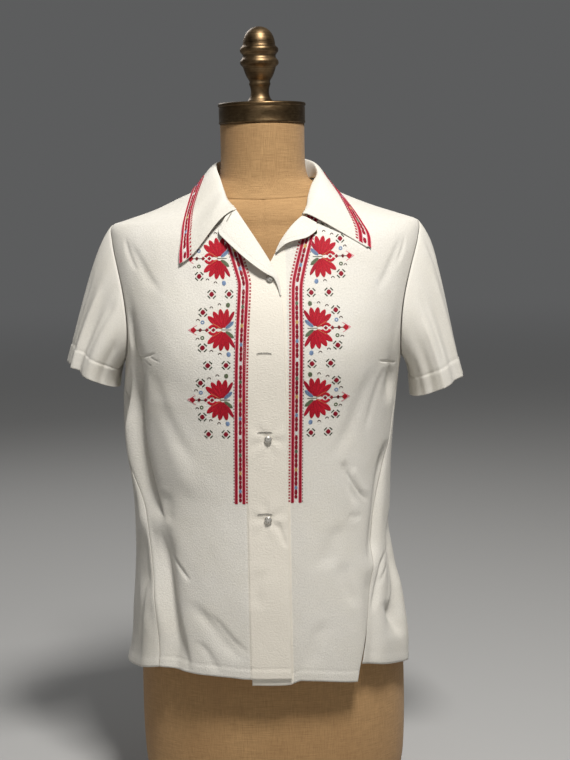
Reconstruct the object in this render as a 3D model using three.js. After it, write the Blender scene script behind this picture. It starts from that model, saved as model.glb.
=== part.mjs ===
// Short-sleeved blouse with a notched collar, buttoned on a limbless dress form.
// Millimetres, +Z up, the blouse faces -Y, the wearer's left is +X. The origin is the middle of the
// foot of the form. Every piece of cloth is a thin wall grown from one surface: horizontal rings give
// the shape, a table of folds moves it in and out, and each cut piece takes its own patch of it.
import * as THREE from 'three';

// ---------------------------------------------------------------- driving sizes
const CLOTH = 1.2;              // thickness of a cloth wall, turnings included
const SEAM_GAP = 0.45;          // space left between two pieces at a seam
const AXIS_Y = 5;               // the rings are centred this far behind the origin
const ARMPIT_Z = 600;           // underarm point
const SHOULDER_Z = 782;         // shoulder tip, where the sleeve is set in
const NECK_Z = 837;             // side neck point, top of both shoulder seams
const ARMHOLE_ANGLE = 25;       // half width of the armhole, in degrees of ring
const HEM_TURN_LIFT = 0.6;      // how far the doubled hem stands out
const FRONT_LAP = 2.6;          // how far the left front lies under the right front
const NECK_RADIUS = 55.6;       // neck of the form
const CAP_RADIUS = 57;          // brass cap on the neck
const CAP_BOTTOM_Z = 911;
const CAP_TOP_Z = 938;
const BOARD_THICK = 18;         // wooden foot board of the form

// ---------------------------------------------------------------- small helpers
const RIGHT = -1;               // wearer's right, which is -X
const LEFT = 1;
const radians = (degrees) => degrees * Math.PI / 180;
const mix = (a, b, t) => a + (b - a) * t;
const clamp01 = (t) => Math.min(1, Math.max(0, t));
const smooth = (t) => clamp01(t) ** 2 * (3 - 2 * clamp01(t));

// Reads one column of a table at any value of its key column, through a smooth curve.
function read(table, key, name, value) {
  const last = table.length - 1;
  const rising = table[last][key] > table[0][key];
  const at = (i) => table[Math.min(last, Math.max(0, i))];
  let i = 0;
  while (i < last - 1 && (rising ? value > at(i + 1)[key] : value < at(i + 1)[key])) i += 1;
  const span = at(i + 1)[key] - at(i)[key];
  const t = clamp01((value - at(i)[key]) / span);
  const slope = (k) => {
    const run = at(k + 1)[key] - at(k - 1)[key];
    return (at(k + 1)[name] - at(k - 1)[name]) / run * span;
  };
  const [p, q, m, n] = [at(i)[name], at(i + 1)[name], slope(i), slope(i + 1)];
  return (2 * t ** 3 - 3 * t ** 2 + 1) * p + (t ** 3 - 2 * t ** 2 + t) * m
    + (3 * t ** 2 - 2 * t ** 3) * q + (t ** 3 - t ** 2) * n;
}

// Curve from p to q that leaves along m and arrives along n.
function hermite(p, m, q, n, t) {
  const out = p.clone().multiplyScalar(2 * t ** 3 - 3 * t ** 2 + 1);
  out.addScaledVector(m, t ** 3 - 2 * t ** 2 + t);
  out.addScaledVector(q, 3 * t ** 2 - 2 * t ** 3);
  return out.addScaledVector(n, t ** 3 - t ** 2);
}

// ---------------------------------------------------------------- dress form and blouse rings
// half widths to the wearer's right and left, depths to the front and back, and the exponent that
// squares a ring (over 2) or draws it to a ridge at the sides (under 2)
const FORM_RINGS = [
  { z: 18.3, right: 172, left: 172, front: 108, back: 116, power: 2.2 },
  { z: 60, right: 178, left: 178, front: 112, back: 120, power: 2.2 },
  { z: 140, right: 180, left: 180, front: 114, back: 122, power: 2.2 },
  { z: 230, right: 176, left: 176, front: 112, back: 120, power: 2.2 },
  { z: 320, right: 156, left: 156, front: 104, back: 108, power: 2.1 },
  { z: 395, right: 130, left: 130, front: 94, back: 94, power: 2.1 },
  { z: 455, right: 119, left: 119, front: 90, back: 87, power: 2.1 },
  { z: 520, right: 129, left: 129, front: 101, back: 91, power: 2.1 },
  { z: 590, right: 148, left: 148, front: 120, back: 98, power: 2.2 },
  { z: 640, right: 158, left: 158, front: 119, back: 103, power: 2.2 },
  { z: 690, right: 171, left: 171, front: 107, back: 104, power: 2.1 },
  { z: 735, right: 187, left: 187, front: 95, back: 100, power: 1.9 },
  { z: 762, right: 196, left: 196, front: 88, back: 93, power: 1.65 },
  { z: 779, right: 194, left: 195, front: 82, back: 87, power: 1.5 },
  { z: 789, right: 175, left: 179, front: 80, back: 84, power: 1.5 },
  { z: 801, right: 140, left: 143, front: 75, back: 78, power: 1.5 },
  { z: 816, right: 106, left: 104.5, front: 65, back: 71, power: 1.55 },
  { z: 827, right: 80.5, left: 81.5, front: 60, back: 63.5, power: 1.75 },
  { z: 837, right: 62, left: 63, front: 57.5, back: 58.5, power: 2 },
  { z: 848, right: 57.5, left: 57.5, front: 57, back: 56.5, power: 2 },
  { z: 866, right: NECK_RADIUS, left: NECK_RADIUS, front: 57, back: 54, power: 2 },
  { z: 910.7, right: NECK_RADIUS, left: NECK_RADIUS, front: 58, back: 53, power: 2 },
];
const BLOUSE_RINGS = [
  { z: 185, right: 201, left: 182, front: 145, back: 139, power: 2.3 },
  { z: 225, right: 192, left: 183, front: 146, back: 137, power: 2.3 },
  { z: 270, right: 189, left: 177, front: 146, back: 132, power: 2.3 },
  { z: 318, right: 185, left: 169, front: 145, back: 124, power: 2.3 },
  { z: 365, right: 183, left: 163, front: 143, back: 117, power: 2.3 },
  { z: 420, right: 184, left: 163, front: 141, back: 112, power: 2.3 },
  { z: 490, right: 193, left: 167, front: 142, back: 110, power: 2.3 },
  { z: 545, right: 194, left: 172, front: 143, back: 111, power: 2.3 },
  { z: 600, right: 190, left: 180, front: 144, back: 113, power: 2.3 },
  { z: 640, right: 195, left: 190, front: 141, back: 114, power: 2.25 },
  { z: 680, right: 200, left: 197, front: 133, back: 114, power: 2.2 },
  { z: 733, right: 205, left: 205, front: 114, back: 109, power: 2.05 },
  { z: 763, right: 206, left: 208, front: 104, back: 102, power: 1.8 },
  { z: 782, right: 202, left: 204, front: 97, back: 95, power: 1.5 },
  { z: 789, right: 181, left: 185, front: 94, back: 92, power: 1.5 },
  { z: 801, right: 145, left: 148, front: 86, back: 87, power: 1.5 },
  { z: 816, right: 112, left: 110, front: 72, back: 79, power: 1.55 },
  { z: 827, right: 87, left: 88, front: 62, back: 71, power: 1.7 },
  { z: 838, right: 69, left: 71, front: 60, back: 64, power: 1.9 },
];
const BUST = { z: 612, angle: 33, highMm: 62, wideDegrees: 17, formLift: 13, blouseLift: 8 };

// Folds of the hanging cloth: a soft trough (depth under 0) or ridge, running from a high to a low
// end, each given by its height and its ring angle from the centre front on one side.
const FOLDS = [
  { side: RIGHT, highZ: 715, highAngle: 67, lowZ: 385, lowAngle: 50, width: 6, depth: -15 },
  { side: RIGHT, highZ: 690, highAngle: 82, lowZ: 400, lowAngle: 74, width: 6, depth: -9 },
  { side: RIGHT, highZ: 560, highAngle: 60, lowZ: 360, lowAngle: 61, width: 5, depth: 6 },
  { side: RIGHT, highZ: 410, highAngle: 47, lowZ: 170, lowAngle: 37, width: 5, depth: -8 },
  { side: RIGHT, highZ: 330, highAngle: 60, lowZ: 150, lowAngle: 52, width: 8, depth: 6 },
  { side: RIGHT, highZ: 590, highAngle: 40, lowZ: 430, lowAngle: 30, width: 7, depth: 3 },
  { side: LEFT, highZ: 500, highAngle: 67, lowZ: 330, lowAngle: 52, width: 5, depth: -9 },
  { side: LEFT, highZ: 340, highAngle: 50, lowZ: 170, lowAngle: 40, width: 5, depth: -5 },
  { side: LEFT, highZ: 455, highAngle: 38, lowZ: 400, lowAngle: 46, width: 4, depth: -5 },
  { side: LEFT, highZ: 400, highAngle: 86, lowZ: 230, lowAngle: 60, width: 7, depth: -8 },
  { side: LEFT, highZ: 700, highAngle: 70, lowZ: 540, lowAngle: 66, width: 7, depth: -7 },
  { side: LEFT, highZ: 330, highAngle: 78, lowZ: 150, lowAngle: 72, width: 9, depth: 6 },
  { side: RIGHT, highZ: 700, highAngle: 112, lowZ: 300, lowAngle: 122, width: 8, depth: -9 },
  { side: RIGHT, highZ: 560, highAngle: 146, lowZ: 180, lowAngle: 152, width: 8, depth: -6 },
  { side: LEFT, highZ: 640, highAngle: 110, lowZ: 280, lowAngle: 124, width: 8, depth: -8 },
  { side: LEFT, highZ: 520, highAngle: 150, lowZ: 170, lowAngle: 143, width: 9, depth: -6 },
  { side: LEFT, highZ: 430, highAngle: 176, lowZ: 160, lowAngle: 178, width: 9, depth: 5 },
];
const FOLD_FADE = 0.22;         // share of a fold's length over which it dies away at each end
const CALM_ANGLE = 13;          // folds die away this close to the armhole seam

function armholeHalfAngle(z) {
  const h = clamp01((z - ARMPIT_Z) / (SHOULDER_Z - ARMPIT_Z));
  return ARMHOLE_ANGLE * Math.max(0, Math.sin(Math.PI * h ** 0.7)) ** 0.6;
}

function foldDepth(side, angle, z) {
  let depth = 0;
  const clear = Math.abs(angle - 90) - ARMHOLE_ANGLE * smooth((z - 540) / 90);
  const calm = mix(1, smooth(clear / CALM_ANGLE), smooth((z - 500) / 90));
  for (const fold of FOLDS) {
    if (fold.side !== side) continue;
    const t = (z - fold.lowZ) / (fold.highZ - fold.lowZ);
    if (t <= 0 || t >= 1) continue;
    const centre = mix(fold.lowAngle, fold.highAngle, t);
    const fade = smooth(t / FOLD_FADE) * smooth((1 - t) / FOLD_FADE);
    depth += fold.depth * fade * Math.exp(-(((angle - centre) / fold.width) ** 2));
  }
  return depth * calm;
}

// Point on a ring surface. The angle runs from 0 at the centre front to 180 at the centre back.
function ringPoint(rings, side, angle, z, lift = 0) {
  const half = read(rings, 'z', side < 0 ? 'right' : 'left', z);
  const depth = read(rings, 'z', angle < 90 ? 'front' : 'back', z);
  const power = 2 / read(rings, 'z', 'power', z);
  const sine = Math.abs(Math.sin(radians(angle)));
  const cosine = Math.cos(radians(angle));
  const bust = Math.exp(-(((angle - BUST.angle) / BUST.wideDegrees) ** 2) - ((z - BUST.z) / BUST.highMm) ** 2);
  const out = lift + bust * (rings === FORM_RINGS ? BUST.formLift : BUST.blouseLift);
  return new THREE.Vector3(
    side * (half * sine ** power + out * sine),
    AXIS_Y - Math.sign(cosine) * depth * Math.abs(cosine) ** power - out * cosine,
    z,
  );
}

// Point on the outside of the blouse, folds included. A negative angle crosses the centre front.
function blousePoint(side, angle, z, lift = 0) {
  const here = angle < 0 ? -side : side;
  return ringPoint(BLOUSE_RINGS, here, Math.abs(angle), z, lift + foldDepth(here, Math.abs(angle), z));
}

// Direction out of the blouse surface.
function blouseNormal(side, angle, z) {
  const along = blousePoint(side, angle + 1.5, z).sub(blousePoint(side, angle - 1.5, z));
  const up = blousePoint(side, angle, z + 4).sub(blousePoint(side, angle, z - 4));
  return along.cross(up).normalize().multiplyScalar(side);
}

// Ring angle of the blouse at a distance x from the middle, signed towards the given side.
function angleAt(side, x, z) {
  const towards = x * side >= 0 ? side : -side;
  const half = read(BLOUSE_RINGS, 'z', towards < 0 ? 'right' : 'left', z);
  const power = read(BLOUSE_RINGS, 'z', 'power', z) / 2;
  const angle = Math.asin(Math.min(1, Math.abs(x) / half) ** power) * 180 / Math.PI;
  return towards === side ? angle : -angle;
}

// ---------------------------------------------------------------- where the pieces are cut
// side seams: they swing forward below the underarm
const SIDE_SEAM = [
  { z: 150, right: 44, left: 33 },
  { z: 210, right: 46.5, left: 37.5 },
  { z: 275, right: 49.5, left: 45 },
  { z: 320, right: 52.5, left: 50.5 },
  { z: 360, right: 55.5, left: 56 },
  { z: 410, right: 59.5, left: 61 },
  { z: 455, right: 64.5, left: 67 },
  { z: 520, right: 73, left: 76 },
  { z: 565, right: 83, left: 84 },
  { z: 600, right: 90, left: 90 },
];
// front edge, then roll line of the lapel, then neck seam: x of each front's inner boundary
const RIGHT_FRONT_EDGE = [
  { z: 150, x: 25 }, { z: 430, x: 25 }, { z: 600, x: 24 }, { z: 670, x: 23 }, { z: 700, x: 19.5 },
  { z: 733, x: 6.5 }, { z: 763, x: -12.5 }, { z: 790, x: -30 }, { z: 803, x: -42 },
  { z: 818, x: -52 }, { z: 829, x: -60 }, { z: 838, x: -68.5 },
];
const LEFT_FRONT_EDGE = [
  { z: 150, x: -26 }, { z: 430, x: -26 }, { z: 600, x: -26 }, { z: 670, x: -24 }, { z: 700, x: -14 },
  { z: 733, x: 7 }, { z: 758, x: 22 }, { z: 773, x: 33 }, { z: 792, x: 53 },
  { z: 804, x: 59 }, { z: 818, x: 62 }, { z: 829, x: 66 }, { z: 838, x: 70.8 },
];
// height of the hem by ring angle
const FRONT_HEM = [
  { angle: 0, right: 200, left: 192 },
  { angle: 10, right: 201, left: 192 },
  { angle: 14, right: 203, left: 197 },
  { angle: 36, right: 208, left: 188 },
  { angle: 40, right: 208, left: 187 },
];
const BACK_HEM = [
  { angle: 36, right: 208, left: 210 },
  { angle: 60, right: 198, left: 198 },
  { angle: 90, right: 192, left: 189 },
  { angle: 180, right: 186, left: 186 },
];

// Ring angle where a body piece ends: side seam, then armhole, then shoulder seam.
function outerAngle(side, z, towardsBack) {
  if (z < ARMPIT_Z) return read(SIDE_SEAM, 'z', side < 0 ? 'right' : 'left', z);
  return 90 + (towardsBack ? 1 : -1) * armholeHalfAngle(z);
}

// Rows shared by fronts, back and sleeves, so that their facets meet edge to edge.
const BODY_ROWS = 10;
const ARMHOLE_ROWS = 10;
const SKIRT_Z = 262;            // above this height every piece has the same rows
const SHOULDER_ROWS = [788, 796, 805, 814, 823, 831, NECK_Z];
function rowHeights(hemZ) {
  const rows = [hemZ, mix(hemZ, SKIRT_Z, 0.5)];
  for (let i = 0; i < BODY_ROWS - 2; i += 1) rows.push(mix(SKIRT_Z, ARMPIT_Z, i / (BODY_ROWS - 2)));
  for (let i = 0; i <= ARMHOLE_ROWS; i += 1) {
    rows.push(mix(ARMPIT_Z, SHOULDER_Z, (1 - Math.cos(Math.PI * i / ARMHOLE_ROWS)) / 2));
  }
  return rows.concat(SHOULDER_ROWS);
}
const ROW_COUNT = BODY_ROWS + ARMHOLE_ROWS + 1 + SHOULDER_ROWS.length;

// ---------------------------------------------------------------- solids
// Turns a grid of points on the outside of the cloth into a closed wall. ring joins the first and
// last columns, for a sleeve. outward says on which side of the grid the outside lies. A point may
// carry its own direction out of the cloth, so that two pieces at a seam end side by side.
function wall(grid, { ring = false, outward = 1, thickness = CLOTH } = {}) {
  const rows = grid.length;
  const columns = grid[0].length;
  const at = (r, c) => grid[Math.min(rows - 1, Math.max(0, r))][
    ring ? (c + columns) % columns : Math.min(columns - 1, Math.max(0, c))];
  const points = [];
  const normals = [];
  for (let r = 0; r < rows; r += 1) {
    for (let c = 0; c < columns; c += 1) {
      const up = at(r + 1, c).clone().sub(at(r - 1, c));
      const along = at(r, c + 1).clone().sub(at(r, c - 1));
      normals.push(at(r, c).out ?? along.cross(up).normalize().multiplyScalar(outward));
      points.push(at(r, c));
    }
  }
  const count = points.length;
  const position = [];
  points.forEach((p) => position.push(p.x, p.y, p.z));
  points.forEach((p, i) => {
    const inside = p.clone().addScaledVector(normals[i], -thickness);
    position.push(inside.x, inside.y, inside.z);
  });
  const faces = [];
  const quad = (a, b, c, d) => faces.push(a, b, c, a, c, d);
  const across = ring ? columns : columns - 1;
  const id = (r, c) => r * columns + (c % columns);
  for (let r = 0; r < rows - 1; r += 1) {
    for (let c = 0; c < across; c += 1) {
      quad(id(r, c), id(r, c + 1), id(r + 1, c + 1), id(r + 1, c));
      quad(count + id(r, c), count + id(r + 1, c), count + id(r + 1, c + 1), count + id(r, c + 1));
    }
  }
  for (let c = 0; c < across; c += 1) {
    quad(id(0, c + 1), id(0, c), count + id(0, c), count + id(0, c + 1));
    const top = rows - 1;
    quad(id(top, c), id(top, c + 1), count + id(top, c + 1), count + id(top, c));
  }
  if (!ring) {
    for (let r = 0; r < rows - 1; r += 1) {
      quad(id(r, 0), id(r + 1, 0), count + id(r + 1, 0), count + id(r, 0));
      const end = columns - 1;
      quad(id(r + 1, end), id(r, end), count + id(r, end), count + id(r + 1, end));
    }
  }
  return closedGeometry(position, faces, outward < 0);
}

function closedGeometry(position, faces, flip) {
  const index = [];
  for (let i = 0; i < faces.length; i += 3) {
    index.push(faces[i], faces[i + (flip ? 2 : 1)], faces[i + (flip ? 1 : 2)]);
  }
  const geometry = new THREE.BufferGeometry();
  geometry.setAttribute('position', new THREE.Float32BufferAttribute(position, 3));
  geometry.setIndex(index);
  geometry.computeVertexNormals();
  return geometry;
}

const blouse = new THREE.Group();
const MATERIALS = {
  cloth: new THREE.MeshStandardMaterial({ color: 0xe9e4d8, roughness: 0.75, metalness: 0 }),
  linen: new THREE.MeshStandardMaterial({ color: 0xa9824f, roughness: 0.85, metalness: 0 }),
  brass: new THREE.MeshStandardMaterial({ color: 0x7a6238, roughness: 0.4, metalness: 1 }),
  board: new THREE.MeshStandardMaterial({ color: 0x5b3d22, roughness: 0.6, metalness: 0 }),
  pearl: new THREE.MeshStandardMaterial({ color: 0xb9b4a4, roughness: 0.3, metalness: 0.1 }),
};

function add(name, geometry, material) {
  const mesh = new THREE.Mesh(geometry, MATERIALS[material]);
  mesh.name = name;
  blouse.add(mesh);
  return mesh;
}

// ---------------------------------------------------------------- dress form
// A closed skin through the rings, with a flat bottom and a flat top.
function formBody() {
  const around = 28;
  const heights = [18.3, 50, 110, 180, 240, 300, 350, 400, 455, 510, 560, 600, 640, 680, 715, 745,
    762, 779, 789, 796, 805, 814, 823, 831, 838, 848, 866, 910.7];
  const position = [];
  heights.forEach((z) => {
    for (let i = 0; i < around; i += 1) {
      const turn = 360 * i / around;
      const p = ringPoint(FORM_RINGS, turn <= 180 ? LEFT : RIGHT, turn <= 180 ? turn : 360 - turn, z);
      position.push(p.x, p.y, p.z);
    }
  });
  const rows = heights.length;
  const faces = [];
  const id = (r, c) => r * around + (c % around);
  for (let r = 0; r < rows - 1; r += 1) {
    for (let c = 0; c < around; c += 1) {
      faces.push(id(r, c), id(r, c + 1), id(r + 1, c + 1), id(r, c), id(r + 1, c + 1), id(r + 1, c));
    }
  }
  const bottom = position.length / 3;
  position.push(0, AXIS_Y, heights[0], 0, AXIS_Y, heights[rows - 1]);
  for (let c = 0; c < around; c += 1) {
    faces.push(bottom, id(0, c + 1), id(0, c), bottom + 1, id(rows - 1, c), id(rows - 1, c + 1));
  }
  return closedGeometry(position, faces, false);
}
add('form_body', formBody(), 'linen');

// Foot board: an oval plank just inside the form's bottom edge.
function footBoard() {
  const inset = 4;
  const foot = FORM_RINGS[0];
  const outline = new THREE.Shape();
  outline.absellipse(0, AXIS_Y - 4, foot.right - inset, foot.front - inset, 0, 2 * Math.PI);
  return new THREE.ExtrudeGeometry(outline, { depth: BOARD_THICK, bevelEnabled: false, curveSegments: 20 });
}
add('foot_board', footBoard(), 'board');

// Turned pieces stand on the neck, on an axis a little behind the middle of the rings.
function turned(profile, segments) {
  const geometry = new THREE.LatheGeometry(profile.map(([r, z]) => new THREE.Vector2(r, z)), segments);
  geometry.rotateX(Math.PI / 2);
  return geometry;
}
const NECK_AXIS_Y = 2.5;
const capHeight = CAP_TOP_Z - CAP_BOTTOM_Z;
const cap = add('neck_cap', turned([
  [0, 0], [CAP_RADIUS - 0.8, 0], [CAP_RADIUS, 1.2], [CAP_RADIUS, capHeight - 4],
  [CAP_RADIUS + 0.8, capHeight - 2.4], [CAP_RADIUS - 0.6, capHeight], [0, capHeight],
], 32), 'brass');
cap.position.set(0, NECK_AXIS_Y, CAP_BOTTOM_Z);

// Acorn finial: radius at each height above the cap.
const FINIAL = [
  { radius: 0, up: 0.3 }, { radius: 16.6, up: 0.3 }, { radius: 16.8, up: 3 }, { radius: 13.2, up: 8 },
  { radius: 12, up: 14 }, { radius: 13.4, up: 23 }, { radius: 13.6, up: 29 }, { radius: 18, up: 36.5 },
  { radius: 21.6, up: 46 }, { radius: 24.8, up: 50 }, { radius: 25.2, up: 54 }, { radius: 22.4, up: 58.6 },
  { radius: 21.4, up: 61.5 }, { radius: 24.4, up: 66.5 }, { radius: 25.2, up: 70 }, { radius: 21.6, up: 74.5 },
  { radius: 20.6, up: 80 }, { radius: 18.4, up: 86.5 }, { radius: 14, up: 93 }, { radius: 7.4, up: 97.6 },
  { radius: 0, up: 98.8 },
];
const finial = add('finial', turned(FINIAL.map((row) => [row.radius, row.up]), 20), 'brass');
finial.position.set(-2, NECK_AXIS_Y, CAP_TOP_Z);

// ---------------------------------------------------------------- fronts and back
const edgeGap = (side, angle, z) => {
  const radius = Math.hypot(blousePoint(side, angle, z).x, blousePoint(side, angle, z).y);
  return SEAM_GAP / 2 / radius * 180 / Math.PI;
};

// A point of a body piece, with the direction out of the cloth.
function clothPoint(side, angle, z, lift = 0) {
  const point = blousePoint(side, angle, z, lift);
  point.out = blouseNormal(side, angle, z);
  return point;
}

// The left front dips under the right front where they lap.
function lapDip(x) {
  return -FRONT_LAP * (1 - smooth((x - 22) / 34));
}

// One front, from the front edge to the side seam, armhole and shoulder seam.
const FRONT_COLUMNS = 18;
const VENT_GAP = 0.8;           // the left side seam is open at the hem, by this many degrees
function front(side) {
  const edges = side < 0 ? RIGHT_FRONT_EDGE : LEFT_FRONT_EDGE;
  const grid = [];
  for (let r = 0; r < ROW_COUNT; r += 1) {
    const row = [];
    for (let c = 0; c <= FRONT_COLUMNS; c += 1) {
      const across = 1 - (1 - c / FRONT_COLUMNS) ** 1.25;
      const hemAngle = across * 38;
      const z = rowHeights(read(FRONT_HEM, 'angle', side < 0 ? 'right' : 'left', hemAngle))[r];
      const inner = angleAt(side, read(edges, 'z', 'x', z), z);
      const outer = outerAngle(side, z, false);
      const vent = side > 0 && z < SKIRT_Z ? VENT_GAP : 0;
      const angle = mix(inner, outer - vent - edgeGap(side, outer, z), across);
      const flat = blousePoint(side, angle, z);
      row.push(clothPoint(side, angle, z, side < 0 ? 0 : lapDip(flat.x)));
    }
    grid.push(row);
  }
  return wall(grid, { outward: side < 0 ? -1 : 1 });
}
add('front_right', front(RIGHT), 'cloth');
add('front_left', front(LEFT), 'cloth');

// The back, from one side seam round to the other.
const BACK_COLUMNS = 26;
function back() {
  const grid = [];
  for (let r = 0; r < ROW_COUNT; r += 1) {
    const row = [];
    for (let c = 0; c <= BACK_COLUMNS; c += 1) {
      const side = c < BACK_COLUMNS / 2 ? LEFT : RIGHT;
      const inwards = Math.abs(1 - 2 * c / BACK_COLUMNS);
      const hemAngle = mix(180, 36, inwards);
      const z = rowHeights(read(BACK_HEM, 'angle', side < 0 ? 'right' : 'left', hemAngle))[r];
      const outer = outerAngle(side, z, true);
      const seam = outer + edgeGap(side, outer, z);
      row.push(clothPoint(side, mix(180, seam, inwards), z));
    }
    grid.push(row);
  }
  return wall(grid, { outward: 1 });
}
add('back', back(), 'cloth');

// ---------------------------------------------------------------- sleeves
// hem oval of each sleeve: its centre, half sizes, and how far its outer end is raised
const SLEEVES = [
  { side: RIGHT, x: -234, y: 8, z: 584, half: 39, deep: 62, raised: 27 },
  { side: LEFT, x: 228, y: 8, z: 561, half: 38, deep: 64, raised: 22 },
];
// folds along a sleeve, by the turn round it from the underarm, front first
const SLEEVE_FOLDS = [
  { side: RIGHT, turn: 0.33, width: 0.035, depth: -9 },
  { side: RIGHT, turn: 0.24, width: 0.04, depth: 4 },
  { side: RIGHT, turn: 0.42, width: 0.03, depth: -4 },
  { side: RIGHT, turn: 0.72, width: 0.05, depth: -6 },
  { side: LEFT, turn: 0.36, width: 0.035, depth: -5 },
  { side: LEFT, turn: 0.2, width: 0.04, depth: -6 },
  { side: LEFT, turn: 0.7, width: 0.05, depth: -6 },
];
const SLEEVE_ROWS = [0, 0.06, 0.16, 0.3, 0.46, 0.62, 0.76, 0.875, 0.885, 1];

function sleeve(spec) {
  const { side } = spec;
  // the armhole, from the underarm up the front to the shoulder and down the back
  const loop = [];
  const heights = rowHeights(0).slice(BODY_ROWS, BODY_ROWS + ARMHOLE_ROWS + 1);
  heights.forEach((z) => loop.push(blousePoint(side, outerAngle(side, z, false), z)));
  heights.slice(1, -1).reverse().forEach((z) => loop.push(blousePoint(side, outerAngle(side, z, true), z)));
  const length = loop.map((p, i) => p.distanceTo(loop[(i + 1) % loop.length]));
  const total = length.reduce((a, b) => a + b, 0);
  const tilt = radians(spec.raised);
  let gone = 0;
  const lines = loop.map((start, i) => {
    const turn = gone / total;
    gone += length[i];
    const phase = 2 * Math.PI * turn;
    const high = (start.z - ARMPIT_Z) / (SHOULDER_Z - ARMPIT_Z);
    const outward = -Math.cos(phase) * spec.half;
    const end = new THREE.Vector3(
      spec.x + side * outward * Math.cos(tilt),
      spec.y - Math.sin(phase) * spec.deep,
      spec.z + outward * Math.sin(tilt),
    );
    const reach = start.distanceTo(end);
    const leave = new THREE.Vector3(side * mix(0.8, 0.7, high), 0, mix(-0.6, -0.72, high));
    leave.multiplyScalar(reach * mix(0.8, 0.55, high));
    const arrive = new THREE.Vector3(side * mix(0.1, 0.3, high), 0, -0.96).multiplyScalar(reach * 0.9);
    // the seam gap, sideways at the shoulder and upwards under the arm
    const gap = new THREE.Vector3(side * (SEAM_GAP + 0.15), 0, 0.8 * (1 - smooth(high * 3)));
    return { start, end, leave, arrive, turn, gap };
  });
  const grid = SLEEVE_ROWS.map((t) => lines.map((line) => {
    const p = hermite(line.start, line.leave, line.end, line.arrive, t);
    const phase = 2 * Math.PI * line.turn;
    const outwards = new THREE.Vector3(-Math.cos(phase) * side, -Math.sin(phase), 0);
    let depth = t > 0.88 ? HEM_TURN_LIFT : 0;
    for (const fold of SLEEVE_FOLDS) {
      if (fold.side === side) {
        depth += fold.depth * smooth(t * 1.4) * Math.exp(-(((line.turn - fold.turn) / fold.width) ** 2));
      }
    }
    p.addScaledVector(outwards, depth);
    if (t === 0) p.add(line.gap);
    return p;
  }));
  return wall(grid, { ring: true, outward: -side });
}
SLEEVES.forEach((spec) => add(spec.side < 0 ? 'sleeve_right' : 'sleeve_left', sleeve(spec), 'cloth'));

// ---------------------------------------------------------------- lapels
// Each front turns back along its roll line. Rows run from the bottom of the roll to the gorge; the
// sheet starts inside the roll, wraps round the edge of the front and lies out to its free edge.
const RIGHT_LAPEL = [
  { row: 0, rollX: 18.6, rollZ: 705, edgeX: 16, edgeZ: 704.4, lift: 3.2 },
  { row: 1, rollX: 14.9, rollZ: 716, edgeX: 11.6, edgeZ: 715, lift: 5 },
  { row: 2, rollX: 11.3, rollZ: 723.5, edgeX: 3.6, edgeZ: 722.3, lift: 8 },
  { row: 3, rollX: 5, rollZ: 735, edgeX: -6.5, edgeZ: 731, lift: 10.5 },
  { row: 4, rollX: -4.5, rollZ: 750.5, edgeX: -20.5, edgeZ: 743, lift: 11 },
  { row: 5, rollX: -14, rollZ: 765.5, edgeX: -33.5, edgeZ: 753.5, lift: 9 },
  { row: 6, rollX: -23.5, rollZ: 780, edgeX: -47, edgeZ: 766, lift: 6.5 },
  { row: 7, rollX: -31, rollZ: 792, edgeX: -52.8, edgeZ: 777.5, lift: 4.5 },
];
const LEFT_LAPEL = [
  { row: 0, rollX: 15.3, rollZ: 747.2, edgeX: 17, edgeZ: 746, lift: 3 },
  { row: 1, rollX: 18, rollZ: 751.5, edgeX: 21, edgeZ: 751, lift: 3.4 },
  { row: 2, rollX: 21.8, rollZ: 757.3, edgeX: 27, edgeZ: 756.8, lift: 5 },
  { row: 3, rollX: 26.2, rollZ: 763.6, edgeX: 35, edgeZ: 760.4, lift: 6.5 },
  { row: 4, rollX: 31.3, rollZ: 770.5, edgeX: 44, edgeZ: 762.4, lift: 7.5 },
  { row: 5, rollX: 38, rollZ: 778.5, edgeX: 54.5, edgeZ: 765.5, lift: 7 },
  { row: 6, rollX: 46, rollZ: 786, edgeX: 65.5, edgeZ: 774, lift: 6 },
  { row: 7, rollX: 52, rollZ: 790.5, edgeX: 65.5, edgeZ: 782.5, lift: 4.5 },
];
// across the sheet: shift from the edge of the front, and lift above the front, as the roll turns
const ROLL_TURN = [{ shift: -1.8, lift: -0.6 }, { shift: -2.7, lift: 1.2 }, { shift: -1.2, lift: 3 }];

function lapel(side, table, rowsUp, bow) {
  const grid = [];
  for (let r = 0; r <= rowsUp; r += 1) {
    const at = r / rowsUp * (table.length - 1);
    const col = (name) => read(table, 'row', name, at);
    const [rollX, rollZ, edgeX, edgeZ, lift] = ['rollX', 'rollZ', 'edgeX', 'edgeZ', 'lift'].map(col);
    const width = Math.hypot(edgeX - rollX, edgeZ - rollZ);
    const unit = [(edgeX - rollX) / width, (edgeZ - rollZ) / width];
    const place = (shift, height) => {
      const x = rollX + unit[0] * shift;
      const z = rollZ + unit[1] * shift;
      return blousePoint(side, angleAt(side, x, z), z, height);
    };
    const row = ROLL_TURN.map((turn) => place(turn.shift, turn.lift));
    for (let c = 1; c <= 5; c += 1) {
      const t = c / 5;
      row.push(place(mix(-1.2, width, t), mix(3, lift, t) + bow * Math.sin(Math.PI * t)));
    }
    grid.push(row);
  }
  return wall(grid, { outward: side < 0 ? -1 : 1, thickness: 1 });
}
add('lapel_right', lapel(RIGHT, RIGHT_LAPEL, 12, 1.4), 'cloth');
add('lapel_left', lapel(LEFT, LEFT_LAPEL, 12, 0.6), 'cloth');

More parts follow.
